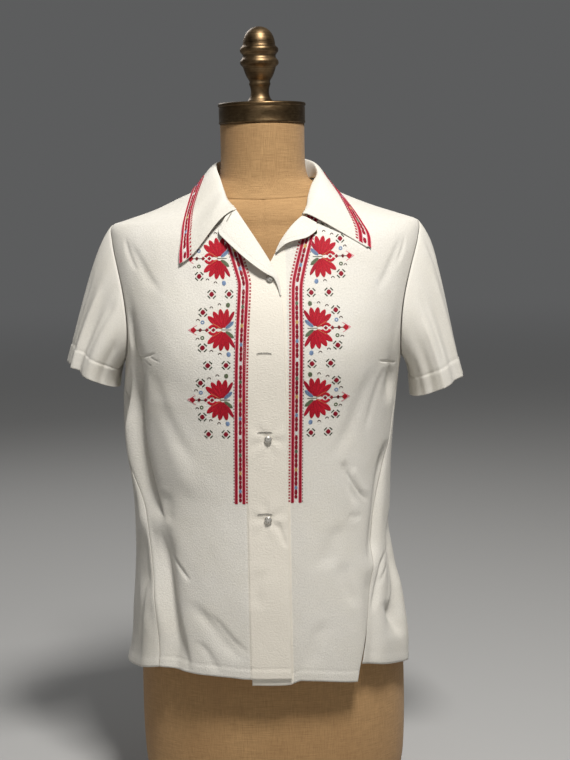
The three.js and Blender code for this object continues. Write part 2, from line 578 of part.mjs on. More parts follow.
// ---------------------------------------------------------------- collar
// Stations from the right front end round the back to the left front end. The seam is given by its
// height on a front, or by the ring angle once it runs along the top of the back. Where no edgeY is
// given the edge lies on the front.
const COLLAR = [
  { at: 0, side: RIGHT, seamZ: 793, rollX: -33, rollY: -88, rollZ: 796, edgeX: -108, edgeZ: 731 },
  { at: 1, side: RIGHT, seamZ: 803, rollX: -46, rollY: -75, rollZ: 807, edgeX: -106, edgeZ: 748 },
  { at: 2, side: RIGHT, seamZ: 816, rollX: -54, rollY: -56, rollZ: 822, edgeX: -103, edgeZ: 765 },
  { at: 3, side: RIGHT, seamZ: 829, rollX: -60, rollY: -32, rollZ: 839, edgeX: -99, edgeZ: 789 },
  { at: 4, side: RIGHT, seamAngle: 90, rollX: -65, rollY: 0, rollZ: 853, edgeX: -93, edgeY: -12, edgeZ: 826 },
  { at: 5, side: RIGHT, seamAngle: 122, rollX: -60, rollY: 34, rollZ: 863, edgeX: -90, edgeY: 42, edgeZ: 823 },
  { at: 6, side: RIGHT, seamAngle: 152, rollX: -36, rollY: 61, rollZ: 868, edgeX: -56, edgeY: 86, edgeZ: 812 },
  { at: 7, side: RIGHT, seamAngle: 180, rollX: 0, rollY: 70, rollZ: 869, edgeX: 0, edgeY: 98, edgeZ: 806 },
  { at: 8, side: LEFT, seamAngle: 152, rollX: 38, rollY: 62, rollZ: 868, edgeX: 58, edgeY: 86, edgeZ: 811 },
  { at: 9, side: LEFT, seamAngle: 122, rollX: 64, rollY: 36, rollZ: 862, edgeX: 89, edgeY: 42, edgeZ: 822 },
  { at: 10, side: LEFT, seamAngle: 90, rollX: 72, rollY: 2, rollZ: 850, edgeX: 94, edgeY: -8, edgeZ: 826 },
  { at: 11, side: LEFT, seamZ: 831, rollX: 73, rollY: -28, rollZ: 837, edgeX: 112, edgeZ: 801 },
  { at: 12, side: LEFT, seamZ: 816, rollX: 68, rollY: -52, rollZ: 819, edgeX: 127, edgeZ: 778 },
  { at: 13, side: LEFT, seamZ: 803, rollX: 62, rollY: -70, rollZ: 805, edgeX: 134, edgeZ: 764 },
  { at: 14, side: LEFT, seamZ: 792, rollX: 53, rollY: -84, rollZ: 794.5, edgeX: 135, edgeZ: 747 },
];
const COLLAR_COLUMNS = 28;
const COLLAR_THICK = 1.2;
const COLLAR_LIFT = 5;          // height of the collar's free edge over the fronts

// Neck-side point of the neck seam at a table row.
function neckSeam(row) {
  const edges = row.side < 0 ? RIGHT_FRONT_EDGE : LEFT_FRONT_EDGE;
  const z = row.seamZ ?? NECK_Z + 4 * SEAM_GAP;
  const angle = row.seamAngle ?? angleAt(row.side, read(edges, 'z', 'x', z) - row.side * 2.4, z);
  const inwards = blouseNormal(row.side, angle, z).setZ(0).normalize();
  return blousePoint(row.side, angle, z).addScaledVector(inwards, -COLLAR_THICK);
}

// Free edge of the collar at a table row.
function collarEdge(row) {
  if (row.edgeY !== undefined) return new THREE.Vector3(row.edgeX, row.edgeY, row.edgeZ);
  return blousePoint(row.side, angleAt(row.side, row.edgeX, row.edgeZ), row.edgeZ, COLLAR_LIFT);
}

function collar() {
  const stations = COLLAR.map((row) => {
    const seam = neckSeam(row);
    const edge = collarEdge(row);
    const lean = row.seamAngle === undefined ? -7 * row.side : 0;
    return {
      ...row, lean, seamX: seam.x, seamY: seam.y, seamZ: seam.z, edgeX: edge.x, edgeY: edge.y, edgeZ: edge.z,
    };
  });
  const grid = [];
  for (let r = 0; r <= COLLAR_COLUMNS; r += 1) {
    const at = r / COLLAR_COLUMNS * (COLLAR.length - 1);
    const point = (name) => new THREE.Vector3(...['X', 'Y', 'Z'].map((axis) => read(stations, 'at', name + axis, at)));
    const [seam, roll, edge] = ['seam', 'roll', 'edge'].map(point);
    const out = edge.clone().sub(roll).setZ(0).normalize();
    const stand = roll.clone().sub(seam).setX(read(stations, 'at', 'lean', at));
    stand.z += 4;
    const fall = edge.clone().sub(roll);
    const row = [0, 0.4, 0.75].map((t) => hermite(
      seam, stand, roll, out.clone().multiplyScalar(6), t));
    for (const t of [0, 0.08, 0.2, 0.4, 0.6, 0.8, 1]) {
      row.push(hermite(roll, out.clone().multiplyScalar(26), edge, fall.clone(), t));
    }
    grid.push(row);
  }
  return wall(grid, { outward: -1, thickness: COLLAR_THICK });
}
add('collar', collar(), 'cloth');

// ---------------------------------------------------------------- buttons
// Domed shank buttons; the second buttonhole from the top has none in it.
const BUTTONS = [
  { name: 'button_top', x: 7, z: 714 },
  { name: 'button_middle', x: 1, z: 513 },
  { name: 'button_low', x: -1, z: 409 },
];
const BUTTON_PROFILE = [
  { radius: 0, up: 0 }, { radius: 3.4, up: 0 }, { radius: 4.8, up: 0.9 }, { radius: 4.7, up: 1.9 },
  { radius: 3.2, up: 3.1 }, { radius: 0, up: 3.6 },
];
BUTTONS.forEach((row) => {
  const angle = angleAt(RIGHT, row.x, row.z);
  const seat = blousePoint(RIGHT, angle, row.z, 0.5);
  const button = add(row.name, turned(BUTTON_PROFILE.map((r) => [r.radius, r.up]), 14), 'pearl');
  button.quaternion.setFromUnitVectors(new THREE.Vector3(0, 0, 1), blouseNormal(RIGHT, angle, row.z));
  button.position.copy(seat);
});

export default blouse;
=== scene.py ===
"""A short-sleeved embroidered blouse, buttoned on a limbless dress form."""

import math
import random

import bmesh
import bpy
from mathutils import Matrix, Vector, noise


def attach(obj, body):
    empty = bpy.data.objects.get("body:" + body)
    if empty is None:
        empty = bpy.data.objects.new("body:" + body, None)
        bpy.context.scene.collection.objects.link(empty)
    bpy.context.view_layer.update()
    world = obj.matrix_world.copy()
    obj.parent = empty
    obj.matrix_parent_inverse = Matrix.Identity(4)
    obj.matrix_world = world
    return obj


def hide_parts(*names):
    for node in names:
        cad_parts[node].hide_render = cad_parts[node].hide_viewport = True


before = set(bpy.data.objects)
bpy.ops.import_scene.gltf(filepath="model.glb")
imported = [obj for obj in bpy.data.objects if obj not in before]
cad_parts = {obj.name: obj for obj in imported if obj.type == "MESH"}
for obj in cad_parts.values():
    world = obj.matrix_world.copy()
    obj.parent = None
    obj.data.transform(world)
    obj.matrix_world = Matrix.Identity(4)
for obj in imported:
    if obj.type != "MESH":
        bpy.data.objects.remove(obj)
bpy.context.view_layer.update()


# ---------------------------------------------------------------- foot board
# A flat oval plank under the form, stained dark, with its upper and lower edges rounded over.
MM = 0.001
BODY = "root"


class Link:
    """One socket in a material, so that its arithmetic can be written as plain expressions."""

    def __init__(self, tree, socket):
        self.tree, self.socket = tree, socket

    def _math(self, operation, first, second):
        return node(self.tree, "ShaderNodeMath", {"operation": operation}, (first, second))

    def __add__(self, other):
        return self._math("ADD", self, other)

    def __sub__(self, other):
        return self._math("SUBTRACT", self, other)

    def __rsub__(self, other):
        return self._math("SUBTRACT", other, self)

    def __mul__(self, other):
        return self._math("MULTIPLY", self, other)

    __radd__, __rmul__ = __add__, __mul__


def node(tree, kind, settings=None, values=(), out=0):
    """Adds a node: its settings first, then the values or links of its sockets."""
    made = tree.nodes.new(kind)
    for name, value in (settings or {}).items():
        if name == "stops":
            ramp = made.color_ramp
            while len(ramp.elements) < len(value):
                ramp.elements.new(0.5)
            for stop, (place, colour) in zip(ramp.elements, value):
                stop.position, stop.color = place, (*colour, 1)
        else:
            setattr(made, name, value)
    pairs = values.items() if isinstance(values, dict) else enumerate(values)
    for key, value in pairs:
        if isinstance(value, Link):
            tree.links.new(value.socket, made.inputs[key])
        else:
            made.inputs[key].default_value = value
    return Link(tree, made.outputs[out])


def finish(name, constants=None):
    """A new material and its node tree, with the shader's plain numbers set."""
    material = bpy.data.materials.new(name)
    material.use_nodes = True
    tree = material.node_tree
    for key, value in (constants or {}).items():
        tree.nodes["Principled BSDF"].inputs[key].default_value = value
    return material, tree


def feed(tree, **links):
    """Links the shader's varying inputs: colour, roughness, normal."""
    names = {"colour": "Base Color", "roughness": "Roughness", "normal": "Normal", "metal": "Metallic"}
    for key, link in links.items():
        tree.links.new(link.socket, tree.nodes["Principled BSDF"].inputs[names[key]])


def place_of(tree, stretch=(1, 1, 1), source="Object"):
    """Object or UV coordinates, stretched so that a pattern follows a direction."""
    where = tree.nodes.new("ShaderNodeTexCoord")
    return node(
        tree, "ShaderNodeMapping", {},
        {"Vector": Link(tree, where.outputs[source]), "Scale": stretch},
    )


def cloudy(tree, where, scale, detail=3.0, rough=0.5):
    return node(
        tree, "ShaderNodeTexNoise", {},
        {"Vector": where, "Scale": scale, "Detail": detail, "Roughness": rough},
    )


def ramp(tree, factor, *stops):
    return node(tree, "ShaderNodeValToRGB", {"stops": stops}, {"Fac": factor})


def blend(tree, factor, first, second, mode="MIX"):
    return node(
        tree, "ShaderNodeMix", {"data_type": "RGBA", "blend_type": mode},
        {0: factor, 6: first, 7: second}, out=2,
    )


def bump(tree, height, distance, strength=1.0, under=None):
    values = {"Height": height, "Distance": distance, "Strength": strength}
    if under is not None:
        values["Normal"] = under
    return node(tree, "ShaderNodeBump", {}, values)


def keep(shape, name, materials, smooth=True):
    """Makes the object of a finished bmesh and lets it ride on the form."""
    mesh = bpy.data.meshes.new(name)
    shape.to_mesh(mesh)
    shape.free()
    for material in materials:
        mesh.materials.append(material)
    mesh.polygons.foreach_set("use_smooth", [smooth] * len(mesh.polygons))
    piece = bpy.data.objects.new(name, mesh)
    bpy.context.collection.objects.link(piece)
    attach(piece, BODY)
    return piece


stain, tree = finish("dark stained board", {"Roughness": 0.55})
grain = cloudy(tree, place_of(tree, (3, 60, 30)), 2.2, 6, 0.6)
feed(
    tree,
    colour=ramp(tree, grain, (0.3, (0.055, 0.028, 0.013)), (0.7, (0.14, 0.075, 0.035))),
    normal=bump(tree, grain, 0.0004),
)
BOARD_HALF = (0.168, 0.104)
BOARD_THICK = 0.018
board = bmesh.new()
bmesh.ops.create_circle(board, cap_ends=True, radius=1, segments=96)
bmesh.ops.scale(board, vec=(*BOARD_HALF, 1), verts=board.verts)
bmesh.ops.translate(board, vec=(0, 0.001, 0), verts=board.verts)
lift = bmesh.ops.extrude_face_region(board, geom=board.faces[:])
bmesh.ops.translate(
    board, vec=(0, 0, BOARD_THICK), verts=[v for v in lift["geom"] if isinstance(v, bmesh.types.BMVert)]
)
bmesh.ops.recalc_face_normals(board, faces=board.faces)
rims = [e for e in board.edges if abs(e.verts[0].co.z - e.verts[1].co.z) < 1e-6]
bmesh.ops.bevel(
    board, geom=rims, offset=0.0018, segments=3, profile=0.5, affect="EDGES", material=-1
)
foot = keep(board, "foot_plank", [stain], smooth=False)
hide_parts("foot_board")


# ---------------------------------------------------------------- dress form
# A stiff shell covered in tan linen, one panel to each side of a centre seam, with a seam round the
# base of the neck. Horizontal rings give its shape, in millimetres.
AXIS_Y = 5
# columns: z, right, left, front, back, power
FORM_RINGS = [
    (18.3, 172, 172, 108, 116, 2.2), (60, 178, 178, 112, 120, 2.2), (140, 180, 180, 114, 122, 2.2),
    (230, 176, 176, 112, 120, 2.2), (320, 156, 156, 104, 108, 2.1), (395, 130, 130, 94, 94, 2.1),
    (455, 119, 119, 90, 87, 2.1), (520, 129, 129, 101, 91, 2.1), (590, 148, 148, 120, 98, 2.2),
    (640, 158, 158, 119, 103, 2.2), (690, 171, 171, 107, 104, 2.1), (735, 187, 187, 95, 100, 1.9),
    (762, 196, 196, 88, 93, 1.65), (779, 194, 195, 82, 87, 1.5), (789, 175, 179, 80, 84, 1.5),
    (801, 140, 143, 75, 78, 1.5), (816, 106, 104.5, 65, 71, 1.55), (827, 80.5, 81.5, 60, 63.5, 1.75),
    (837, 62, 63, 57.5, 58.5, 2), (848, 57.5, 57.5, 57, 56.5, 2), (866, 55.6, 55.6, 57, 54, 2),
    (910.7, 55.6, 55.6, 58, 53, 2),
]


def mix(a, b, t):
    return a + (b - a) * t


def smooth(t):
    t = min(1.0, max(0.0, t))
    return t * t * (3 - 2 * t)


def read(rows, column, value, key=0):
    """One column of a table at any value of its key column, through a smooth curve."""
    last = len(rows) - 1
    rising = rows[last][key] > rows[0][key]
    i = 0
    while i < last - 1 and (value > rows[i + 1][key] if rising else value < rows[i + 1][key]):
        i += 1
    low, high = rows[i], rows[i + 1]
    span = high[key] - low[key]
    t = min(1.0, max(0.0, (value - low[key]) / span))

    def slope(k):
        a, b = rows[max(0, k - 1)], rows[min(last, k + 1)]
        return (b[column] - a[column]) / (b[key] - a[key]) * span

    t2, t3 = t * t, t * t * t
    return (
        (2 * t3 - 3 * t2 + 1) * low[column] + (t3 - 2 * t2 + t) * slope(i)
        + (3 * t2 - 2 * t3) * high[column] + (t3 - t2) * slope(i + 1)
    )


def straight(rows, value):
    """The second column of a table at any value of its first, along straight lines."""
    (a, low), (b, high) = next(pair for pair in zip(rows, rows[1:]) if value <= pair[1][0] + 1e-6)
    return mix(low, high, (value - a) / (b - a))


RIGHT, LEFT = -1, 1
BUST = {"z": 612, "angle": 33, "tall": 62, "wide": 17, "form": 13, "blouse": 8}


def ring_point(rings, side, angle, z, lift, swell):
    """A point of a ring, in millimetres. The angle runs from 0 at the front to 180 at the back."""
    half = read(rings, 1 if side < 0 else 2, z)
    deep = read(rings, 3 if angle < 90 else 4, z)
    power = 2 / read(rings, 5, z)
    sine, cosine = abs(math.sin(math.radians(angle))), math.cos(math.radians(angle))
    bust = math.exp(
        -(((angle - BUST["angle"]) / BUST["wide"]) ** 2) - ((z - BUST["z"]) / BUST["tall"]) ** 2
    )
    out = lift + bust * swell
    return Vector((
        side * (half * sine**power + out * sine),
        AXIS_Y - math.copysign(deep * abs(cosine) ** power, cosine) - out * cosine,
        z,
    ))


linen, tree = finish("tan linen", {"Roughness": 0.86, "Sheen Weight": 0.08, "Sheen Roughness": 0.5})
across = cloudy(tree, place_of(tree, (60, 60, 1500)), 1.0, 2, 0.6)
along = cloudy(tree, place_of(tree, (1500, 1500, 60)), 1.0, 2, 0.6)
worn = cloudy(tree, place_of(tree), 9, 4, 0.55)
weave = across + along
thread_tone = ramp(tree, weave * 0.5, (0.34, (0.31, 0.175, 0.07)), (0.64, (0.5, 0.3, 0.128)))
feed(
    tree,
    colour=blend(
        tree, ramp(tree, worn, (0.42, (0, 0, 0)), (0.75, (1, 1, 1))) * 0.5,
        thread_tone, (0.32, 0.17, 0.065, 1),
    ),
    normal=bump(tree, weave, 0.0005, 0.8),
)
SEAM_TROUGH = 1.3
NECK_SEAM = 825
# share of the rows and height, closer together where the neck seam runs
FORM_ROWS = [(0, 18.3), (0.5, 740), (0.62, 800), (0.9, 842), (1, 910.7)]
form = bmesh.new()
bmesh.ops.create_grid(form, x_segments=148, y_segments=230, size=0.5)
FORM_LOW = FORM_RINGS[0][0]
for v in form.verts:
    turn = (v.co.x + 0.5) * 360
    row = v.co.y + 0.5
    z = straight(FORM_ROWS, row)
    side, angle = (LEFT, turn) if turn <= 180 else (RIGHT, 360 - turn)
    neck_seam = NECK_SEAM - 13 * math.cos(math.radians(angle))
    from_middle = angle * 1.6 if z < neck_seam else 99
    dip = math.exp(-((from_middle / 1.6) ** 2)) + 1.1 * math.exp(-(((z - neck_seam) / 1.1) ** 2))
    round_over = 2.5 * (1 - smooth((z - FORM_LOW) / 5))
    v.co = ring_point(FORM_RINGS, side, angle, z, -SEAM_TROUGH * dip - round_over, BUST["form"]) * MM
bmesh.ops.remove_doubles(form, verts=form.verts, dist=1e-6)
bmesh.ops.holes_fill(form, edges=form.edges)
bmesh.ops.recalc_face_normals(form, faces=form.faces)
torso = keep(form, "linen_form", [linen])
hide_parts("form_body")


# ---------------------------------------------------------------- neck cap
# A pressed brass cap over the cut end of the neck, gone brown, with its rolled rim rubbed bright.
aged, tree = finish("aged brass", {"Metallic": 1.0})
tarnish = cloudy(tree, place_of(tree), 34, 6, 0.62)
rubbed = cloudy(tree, place_of(tree, (1, 1, 3)), 130, 3, 0.6)
dull = ramp(tree, tarnish, (0.36, (0, 0, 0)), (0.68, (1, 1, 1)))
feed(
    tree,
    colour=blend(
        tree, dull,
        ramp(tree, rubbed, (0.35, (0.12, 0.077, 0.038)), (0.7, (0.24, 0.165, 0.085))),
        (0.085, 0.052, 0.026, 1),
    ),
    roughness=ramp(tree, tarnish, (0.3, (0.30, 0.30, 0.30)), (0.75, (0.52, 0.52, 0.52))),
    normal=bump(tree, rubbed, 0.0002, 0.5),
)
NECK_AXIS = (0, 0.0025)
FULL_TURN = 2 * math.pi


def turn_round(name, profile, low, middle, steps, material):
    """Spins a profile of (radius, height) in millimetres round an upright axis."""
    shape = bmesh.new()
    line = [
        shape.verts.new((middle[0] + r * MM, middle[1], low + up * MM)) for r, up in profile
    ]
    edges = [shape.edges.new(pair) for pair in zip(line, line[1:])]
    bmesh.ops.spin(
        shape, geom=line + edges, cent=(*middle, 0), axis=(0, 0, 1), angle=FULL_TURN,
        steps=steps, use_merge=True, use_duplicate=False,
    )
    bmesh.ops.remove_doubles(shape, verts=shape.verts, dist=1e-6)
    bmesh.ops.recalc_face_normals(shape, faces=shape.faces)
    return keep(shape, name, [material])


CAP_PROFILE = [
    (0, 0), (54, 0), (56.4, 0.2), (57, 0.9), (57.2, 2.2), (56.7, 3.2), (56.8, 12), (56.9, 20.6),
    (56.4, 21.6), (56.9, 22.4), (57.7, 23.2), (57.9, 24.4), (57.6, 25.9), (56.6, 26.8), (55, 27),
    (40, 26.7), (0, 26.7),
]
cap = turn_round("brass_cap", CAP_PROFILE, 0.911, NECK_AXIS, 96, aged)
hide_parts("neck_cap")


# ---------------------------------------------------------------- finial
# A turned acorn on the cap: a flange, a neck, a cup and two ringed collars under the egg. The
# hollows are dark and the rings are rubbed bright.
bronze, tree = finish("rubbed bronze", {"Metallic": 1.0})
wear = cloudy(tree, place_of(tree), 46, 5, 0.6)
spun = cloudy(tree, place_of(tree, (4, 4, 260)), 3, 2, 0.5)
feed(
    tree,
    colour=ramp(
        tree, wear * 0.72 + spun * 0.3, (0.36, (0.06, 0.037, 0.019)),
        (0.52, (0.17, 0.112, 0.058)), (0.74, (0.31, 0.215, 0.115)),
    ),
    roughness=ramp(tree, wear, (0.3, (0.34, 0.34, 0.34)), (0.7, (0.52, 0.52, 0.52))),
    normal=bump(tree, spun, 0.0002, 0.5),
)
FINIAL_PROFILE = [
    (0, 0.3), (15.8, 0.3), (16.7, 1.0), (17, 2.2), (16.4, 3.4), (14.6, 5), (13.3, 7.4), (12.4, 10.4),
    (11.9, 14), (12.2, 18), (13, 21.6), (13.9, 23.6), (14.2, 25.2), (13.6, 26.9), (13.6, 28.4),
    (14.7, 30.4), (16.9, 33.8), (19, 38.4), (20.7, 43.4), (21.9, 47.2), (23.9, 48.8), (25.2, 50.6),
    (25.5, 52.6), (24.9, 54.8), (23.3, 56.7), (22.1, 58.4), (21.5, 60.2), (21.9, 62.4), (23.4, 64.3),
    (24.9, 66.2), (25.4, 68.4), (25, 70.6), (23.5, 72.3), (21.9, 73.6), (21.3, 75), (21.1, 78),
    (20.3, 82), (19, 86), (16.8, 90), (13.8, 93.6), (9.8, 96.6), (5, 98.4), (0, 98.8),
]
acorn = turn_round("acorn_finial", FINIAL_PROFILE, 0.938, (-0.002, 0.0025), 72, bronze)
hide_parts("finial")


# ---------------------------------------------------------------- blouse back
# Ivory crepe in one piece between the side seams, which swing forward, and the shoulder seams. The
# whole blouse hangs on one set of rings, moved in and out by a table of folds.
BLOUSE_RINGS = [
    (185, 201, 182, 145, 139, 2.3), (225, 192, 183, 146, 137, 2.3), (270, 189, 177, 146, 132, 2.3),
    (318, 185, 169, 145, 124, 2.3), (365, 183, 163, 143, 117, 2.3), (420, 184, 163, 141, 112, 2.3),
    (490, 193, 167, 142, 110, 2.3), (545, 194, 172, 143, 111, 2.3), (600, 190, 180, 144, 113, 2.3),
    (640, 195, 190, 141, 114, 2.25), (680, 200, 197, 133, 114, 2.2), (733, 205, 205, 114, 109, 2.05),
    (763, 206, 208, 104, 102, 1.8), (782, 202, 204, 97, 95, 1.5), (789, 181, 185, 94, 92, 1.5),
    (801, 145, 148, 86, 87, 1.5), (816, 112, 110, 72, 79, 1.55), (827, 87, 88, 62, 71, 1.7),
    (838, 69, 71, 60, 64, 1.9),
]
# side, high end (height, ring angle), low end, width in degrees, depth in millimetres
FOLDS = [
    (RIGHT, (715, 67), (385, 50), 6, -15), (RIGHT, (690, 82), (400, 74), 6, -9),
    (RIGHT, (560, 69), (360, 62), 4, 6), (RIGHT, (410, 47), (170, 37), 5, -8),
    (RIGHT, (330, 60), (150, 52), 8, 6), (RIGHT, (590, 40), (430, 30), 7, 3),
    (LEFT, (500, 67), (330, 52), 5, -9), (LEFT, (340, 50), (170, 40), 5, -5),
    (LEFT, (400, 86), (230, 60), 7, -8),
    (LEFT, (700, 70), (540, 66), 7, -7), (LEFT, (330, 78), (150, 72), 9, 6),
    (RIGHT, (700, 112), (300, 122), 8, -9), (RIGHT, (560, 146), (180, 152), 8, -6),
    (LEFT, (640, 110), (280, 124), 8, -8), (LEFT, (520, 150), (170, 143), 9, -6),
    (LEFT, (430, 176), (160, 178), 9, 5),
]
# the finer creases: side, widths in degrees away from the middle and towards it, depth, then
# heights and ring angles from the top down
CREASES = [
    (RIGHT, 4, 1.5, -16, [
        (680, 59), (640, 60), (600, 62), (570, 62), (540, 58), (510, 55), (470, 53), (430, 50), (395, 46),
    ]),
    (RIGHT, 3, 1.3, -10, [(620, 73), (590, 71), (550, 70), (500, 70), (450, 72), (405, 74)]),
    (RIGHT, 4.5, 2.2, -6, [(400, 51), (350, 47), (300, 42), (250, 36), (190, 29)]),
    (RIGHT, 3.2, 2.4, 2.6, [(425, 60), (375, 57), (325, 53), (275, 48), (225, 44)]),
    (RIGHT, 1.6, 1.2, -1.8, [(360, 43), (345, 37), (325, 31)]),
    (RIGHT, 3.6, 3, -2, [(445, 43), (420, 42), (395, 43)]),
    (RIGHT, 4, 3, -2.6, [(305, 30), (285, 25), (260, 18), (220, 9)]),
    (RIGHT, 2, 1.6, -1.4, [(290, 22), (275, 18), (255, 13), (230, 6)]),
    (RIGHT, 2.4, 2, -1.5, [(252, 27), (232, 22), (204, 17)]),
    (RIGHT, 3, 2, -2.4, [(330, 58), (280, 60), (240, 62), (200, 62)]),
    (RIGHT, 5, 4, -2.4, [(604, 46), (545, 38), (470, 26)]),
    (RIGHT, 4, 3, -1.6, [(765, 60), (730, 50), (690, 38)]),
    (RIGHT, 2, 1.6, -1.3, [(775, 66), (748, 60), (718, 52)]),
    (RIGHT, 1.2, 0.9, -1.1, [(410, -2), (390, -4), (370, -6)]),
    (RIGHT, 3, 2, -1.2, [(350, 1), (320, 4), (290, 3)]),
    (LEFT, 5, 4, -1.9, [(605, 45), (560, 40), (530, 36), (480, 27)]),
    (LEFT, 3, 2.6, -1.3, [(600, 56), (560, 50), (510, 45)]),
    (LEFT, 2.6, 1.6, -3.4, [(355, 74), (340, 62), (325, 57), (300, 52), (270, 47)]),
    (LEFT, 2, 1.6, -1.8, [(350, 86), (335, 72), (320, 61), (305, 55)]),
    (LEFT, 4.5, 4, -5, [(288, 57), (266, 62), (250, 65), (226, 67)]),
    (LEFT, 2.6, 2.6, 2.2, [(350, 78), (312, 70), (290, 66), (262, 56)]),
    (LEFT, 6, 5, -1.5, [(402, 31), (372, 26), (338, 20)]),
    (LEFT, 4, 3.4, -1.8, [(352, 31), (318, 32), (284, 36)]),
    (LEFT, 4, 3, -1.5, [(280, 20), (245, 15), (208, 12)]),
    (LEFT, 3.4, 2.6, -1.6, [(768, 62), (735, 54), (690, 44)]),
    (LEFT, 1.8, 1.6, -1.4, [(778, 68), (750, 62), (722, 56)]),
    (RIGHT, 3, 2.2, -3, [(540, 100), (420, 94), (290, 91)]),
    (RIGHT, 2.6, 2.6, 2.4, [(480, 108), (360, 106), (240, 102)]),
    (LEFT, 3, 2.2, -3.2, [(500, 100), (380, 96), (250, 92)]),
    (LEFT, 2.6, 2.6, 2.6, [(430, 112), (330, 110), (220, 107)]),
    (RIGHT, 3, 2, -2.4, [(690, 128), (570, 137), (450, 141)]),
    (LEFT, 3, 2, -2.4, [(680, 126), (560, 136), (440, 142)]),
    (RIGHT, 4, 3, -2.4, [(390, 166), (280, 163), (170, 165)]),
    (LEFT, 4, 3, -2.2, [(360, 160), (260, 165), (170, 162)]),
    (LEFT, 5, 4, -2, [(765, 130), (700, 122), (640, 118)]),
    (RIGHT, 5, 4, -1.8, [(768, 126), (700, 120), (645, 114)]),
]
# where a fold laps over its own valley: which crease of the table, how far in degrees
LAPS = [(0, 4.4), (1, 2.8)]
FOLD_FADE = 0.22
ARMPIT_Z, SHOULDER_Z, NECK_Z = 600, 782, 837
ARMHOLE_ANGLE, CALM_ANGLE = 25, 13


def fold_depth(side, angle, z):
    """How far the folds move the cloth out at a place; they die away at the armholes."""
    depth = 0.0
    for fold_side, (high_z, high_a), (low_z, low_a), wide, deep in FOLDS:
        if fold_side == side and low_z < z < high_z:
            t = (z - low_z) / (high_z - low_z)
            off = (angle - mix(low_a, high_a, t)) / wide
            depth += deep * smooth(t / FOLD_FADE) * smooth((1 - t) / FOLD_FADE) * math.exp(-off * off)
    clear = abs(angle - 90) - ARMHOLE_ANGLE * smooth((z - 540) / 90)
    low = smooth((z - 500) / 90)
    fine = 0.0
    for crease_side, outer, inner, deep, track in CREASES:
        if track[-1][0] < z < track[0][0]:
            off = (angle if crease_side == side else -angle) - read(track, 1, z)
            off /= outer if off > 0 else inner
            if abs(off) < 3:
                t = (z - track[-1][0]) / (track[0][0] - track[-1][0])
                fine += deep * smooth(t / 0.3) * smooth((1 - t) / 0.3) * math.exp(-off * off)
    return depth * mix(1, smooth(clear / CALM_ANGLE), low) + fine * mix(1, smooth(clear / 4), low)


def lap_over(side, angle, z):
    """How far the lip of a deep fold slides out over the valley beside it, in degrees."""
    slide = 0.0
    for which, reach in LAPS:
        lap_side, _, lip, _, track = CREASES[which]
        if lap_side == side and track[-1][0] < z < track[0][0]:
            off = read(track, 1, z) - angle
            if 0 < off < 12:
                t = (z - track[-1][0]) / (track[0][0] - track[-1][0])
                full = reach * smooth(t / 0.22) * smooth((1 - t) / 0.3)
                slide += full * (smooth(off / (lip * 1.3)) if off < lip * 1.3 else smooth((12 - off) / 10.3))
    return slide


def unevenness(x, z):
    """Hand-hung cloth is never quite even: slow swells and a fainter slanting ripple."""
    return 0.8 * noise.noise(Vector((x / 52, z / 80, 1.5))) + 0.32 * noise.noise(
        Vector(((x + z * 0.45) / 17, (z - x * 0.45) / 44, 7.5))
    )


def blouse_point(side, angle, z, lift=0.0):
    """A point on the outside of the blouse. A negative angle crosses the centre front."""
    here = -side if angle < 0 else side
    angle = abs(angle)
    lift += fold_depth(here, angle, z)
    calm = mix(1, smooth((abs(angle - 90) - ARMHOLE_ANGLE) / 5), smooth((z - 560) / 60))
    lift += unevenness(here * angle * 2.8, z) * calm
    angle += lap_over(here, angle, z)
    return ring_point(BLOUSE_RINGS, here, angle, z, lift, BUST["blouse"])


def armhole_half(z):
    h = min(1, max(0, (z - ARMPIT_Z) / (SHOULDER_Z - ARMPIT_Z)))
    return ARMHOLE_ANGLE * max(0, math.sin(math.pi * h**0.7)) ** 0.6


# height, then the ring angle of the right and the left side seam
SIDE_SEAM = [
    (150, 44, 33), (210, 46.5, 37.5), (275, 49.5, 45), (320, 52.5, 50.5), (360, 55.5, 56),
    (410, 59.5, 61), (455, 64.5, 67), (520, 73, 76), (565, 83, 84), (600, 90, 90),
]
BACK_HEM = [(36, 208, 210), (60, 198, 198), (90, 192, 189), (180, 186, 186)]


def outer_angle(side, z, towards_back):
    """Where a body piece ends: side seam, then armhole, then shoulder seam."""
    if z < ARMPIT_Z:
        return read(SIDE_SEAM, 1 if side < 0 else 2, z)
    return 90 + (1 if towards_back else -1) * armhole_half(z)


def eased_angle(side, z, towards_back, share):
    """The outer angle that a grid line follows: only the outermost ones turn sharply at the underarm."""
    exact = outer_angle(side, z, towards_back)
    if not 570 < z < 650:
        return exact
    gentle = mix(
        outer_angle(side, 570, towards_back), outer_angle(side, 650, towards_back), smooth((z - 570) / 80)
    )
    return mix(gentle, exact, share**8)


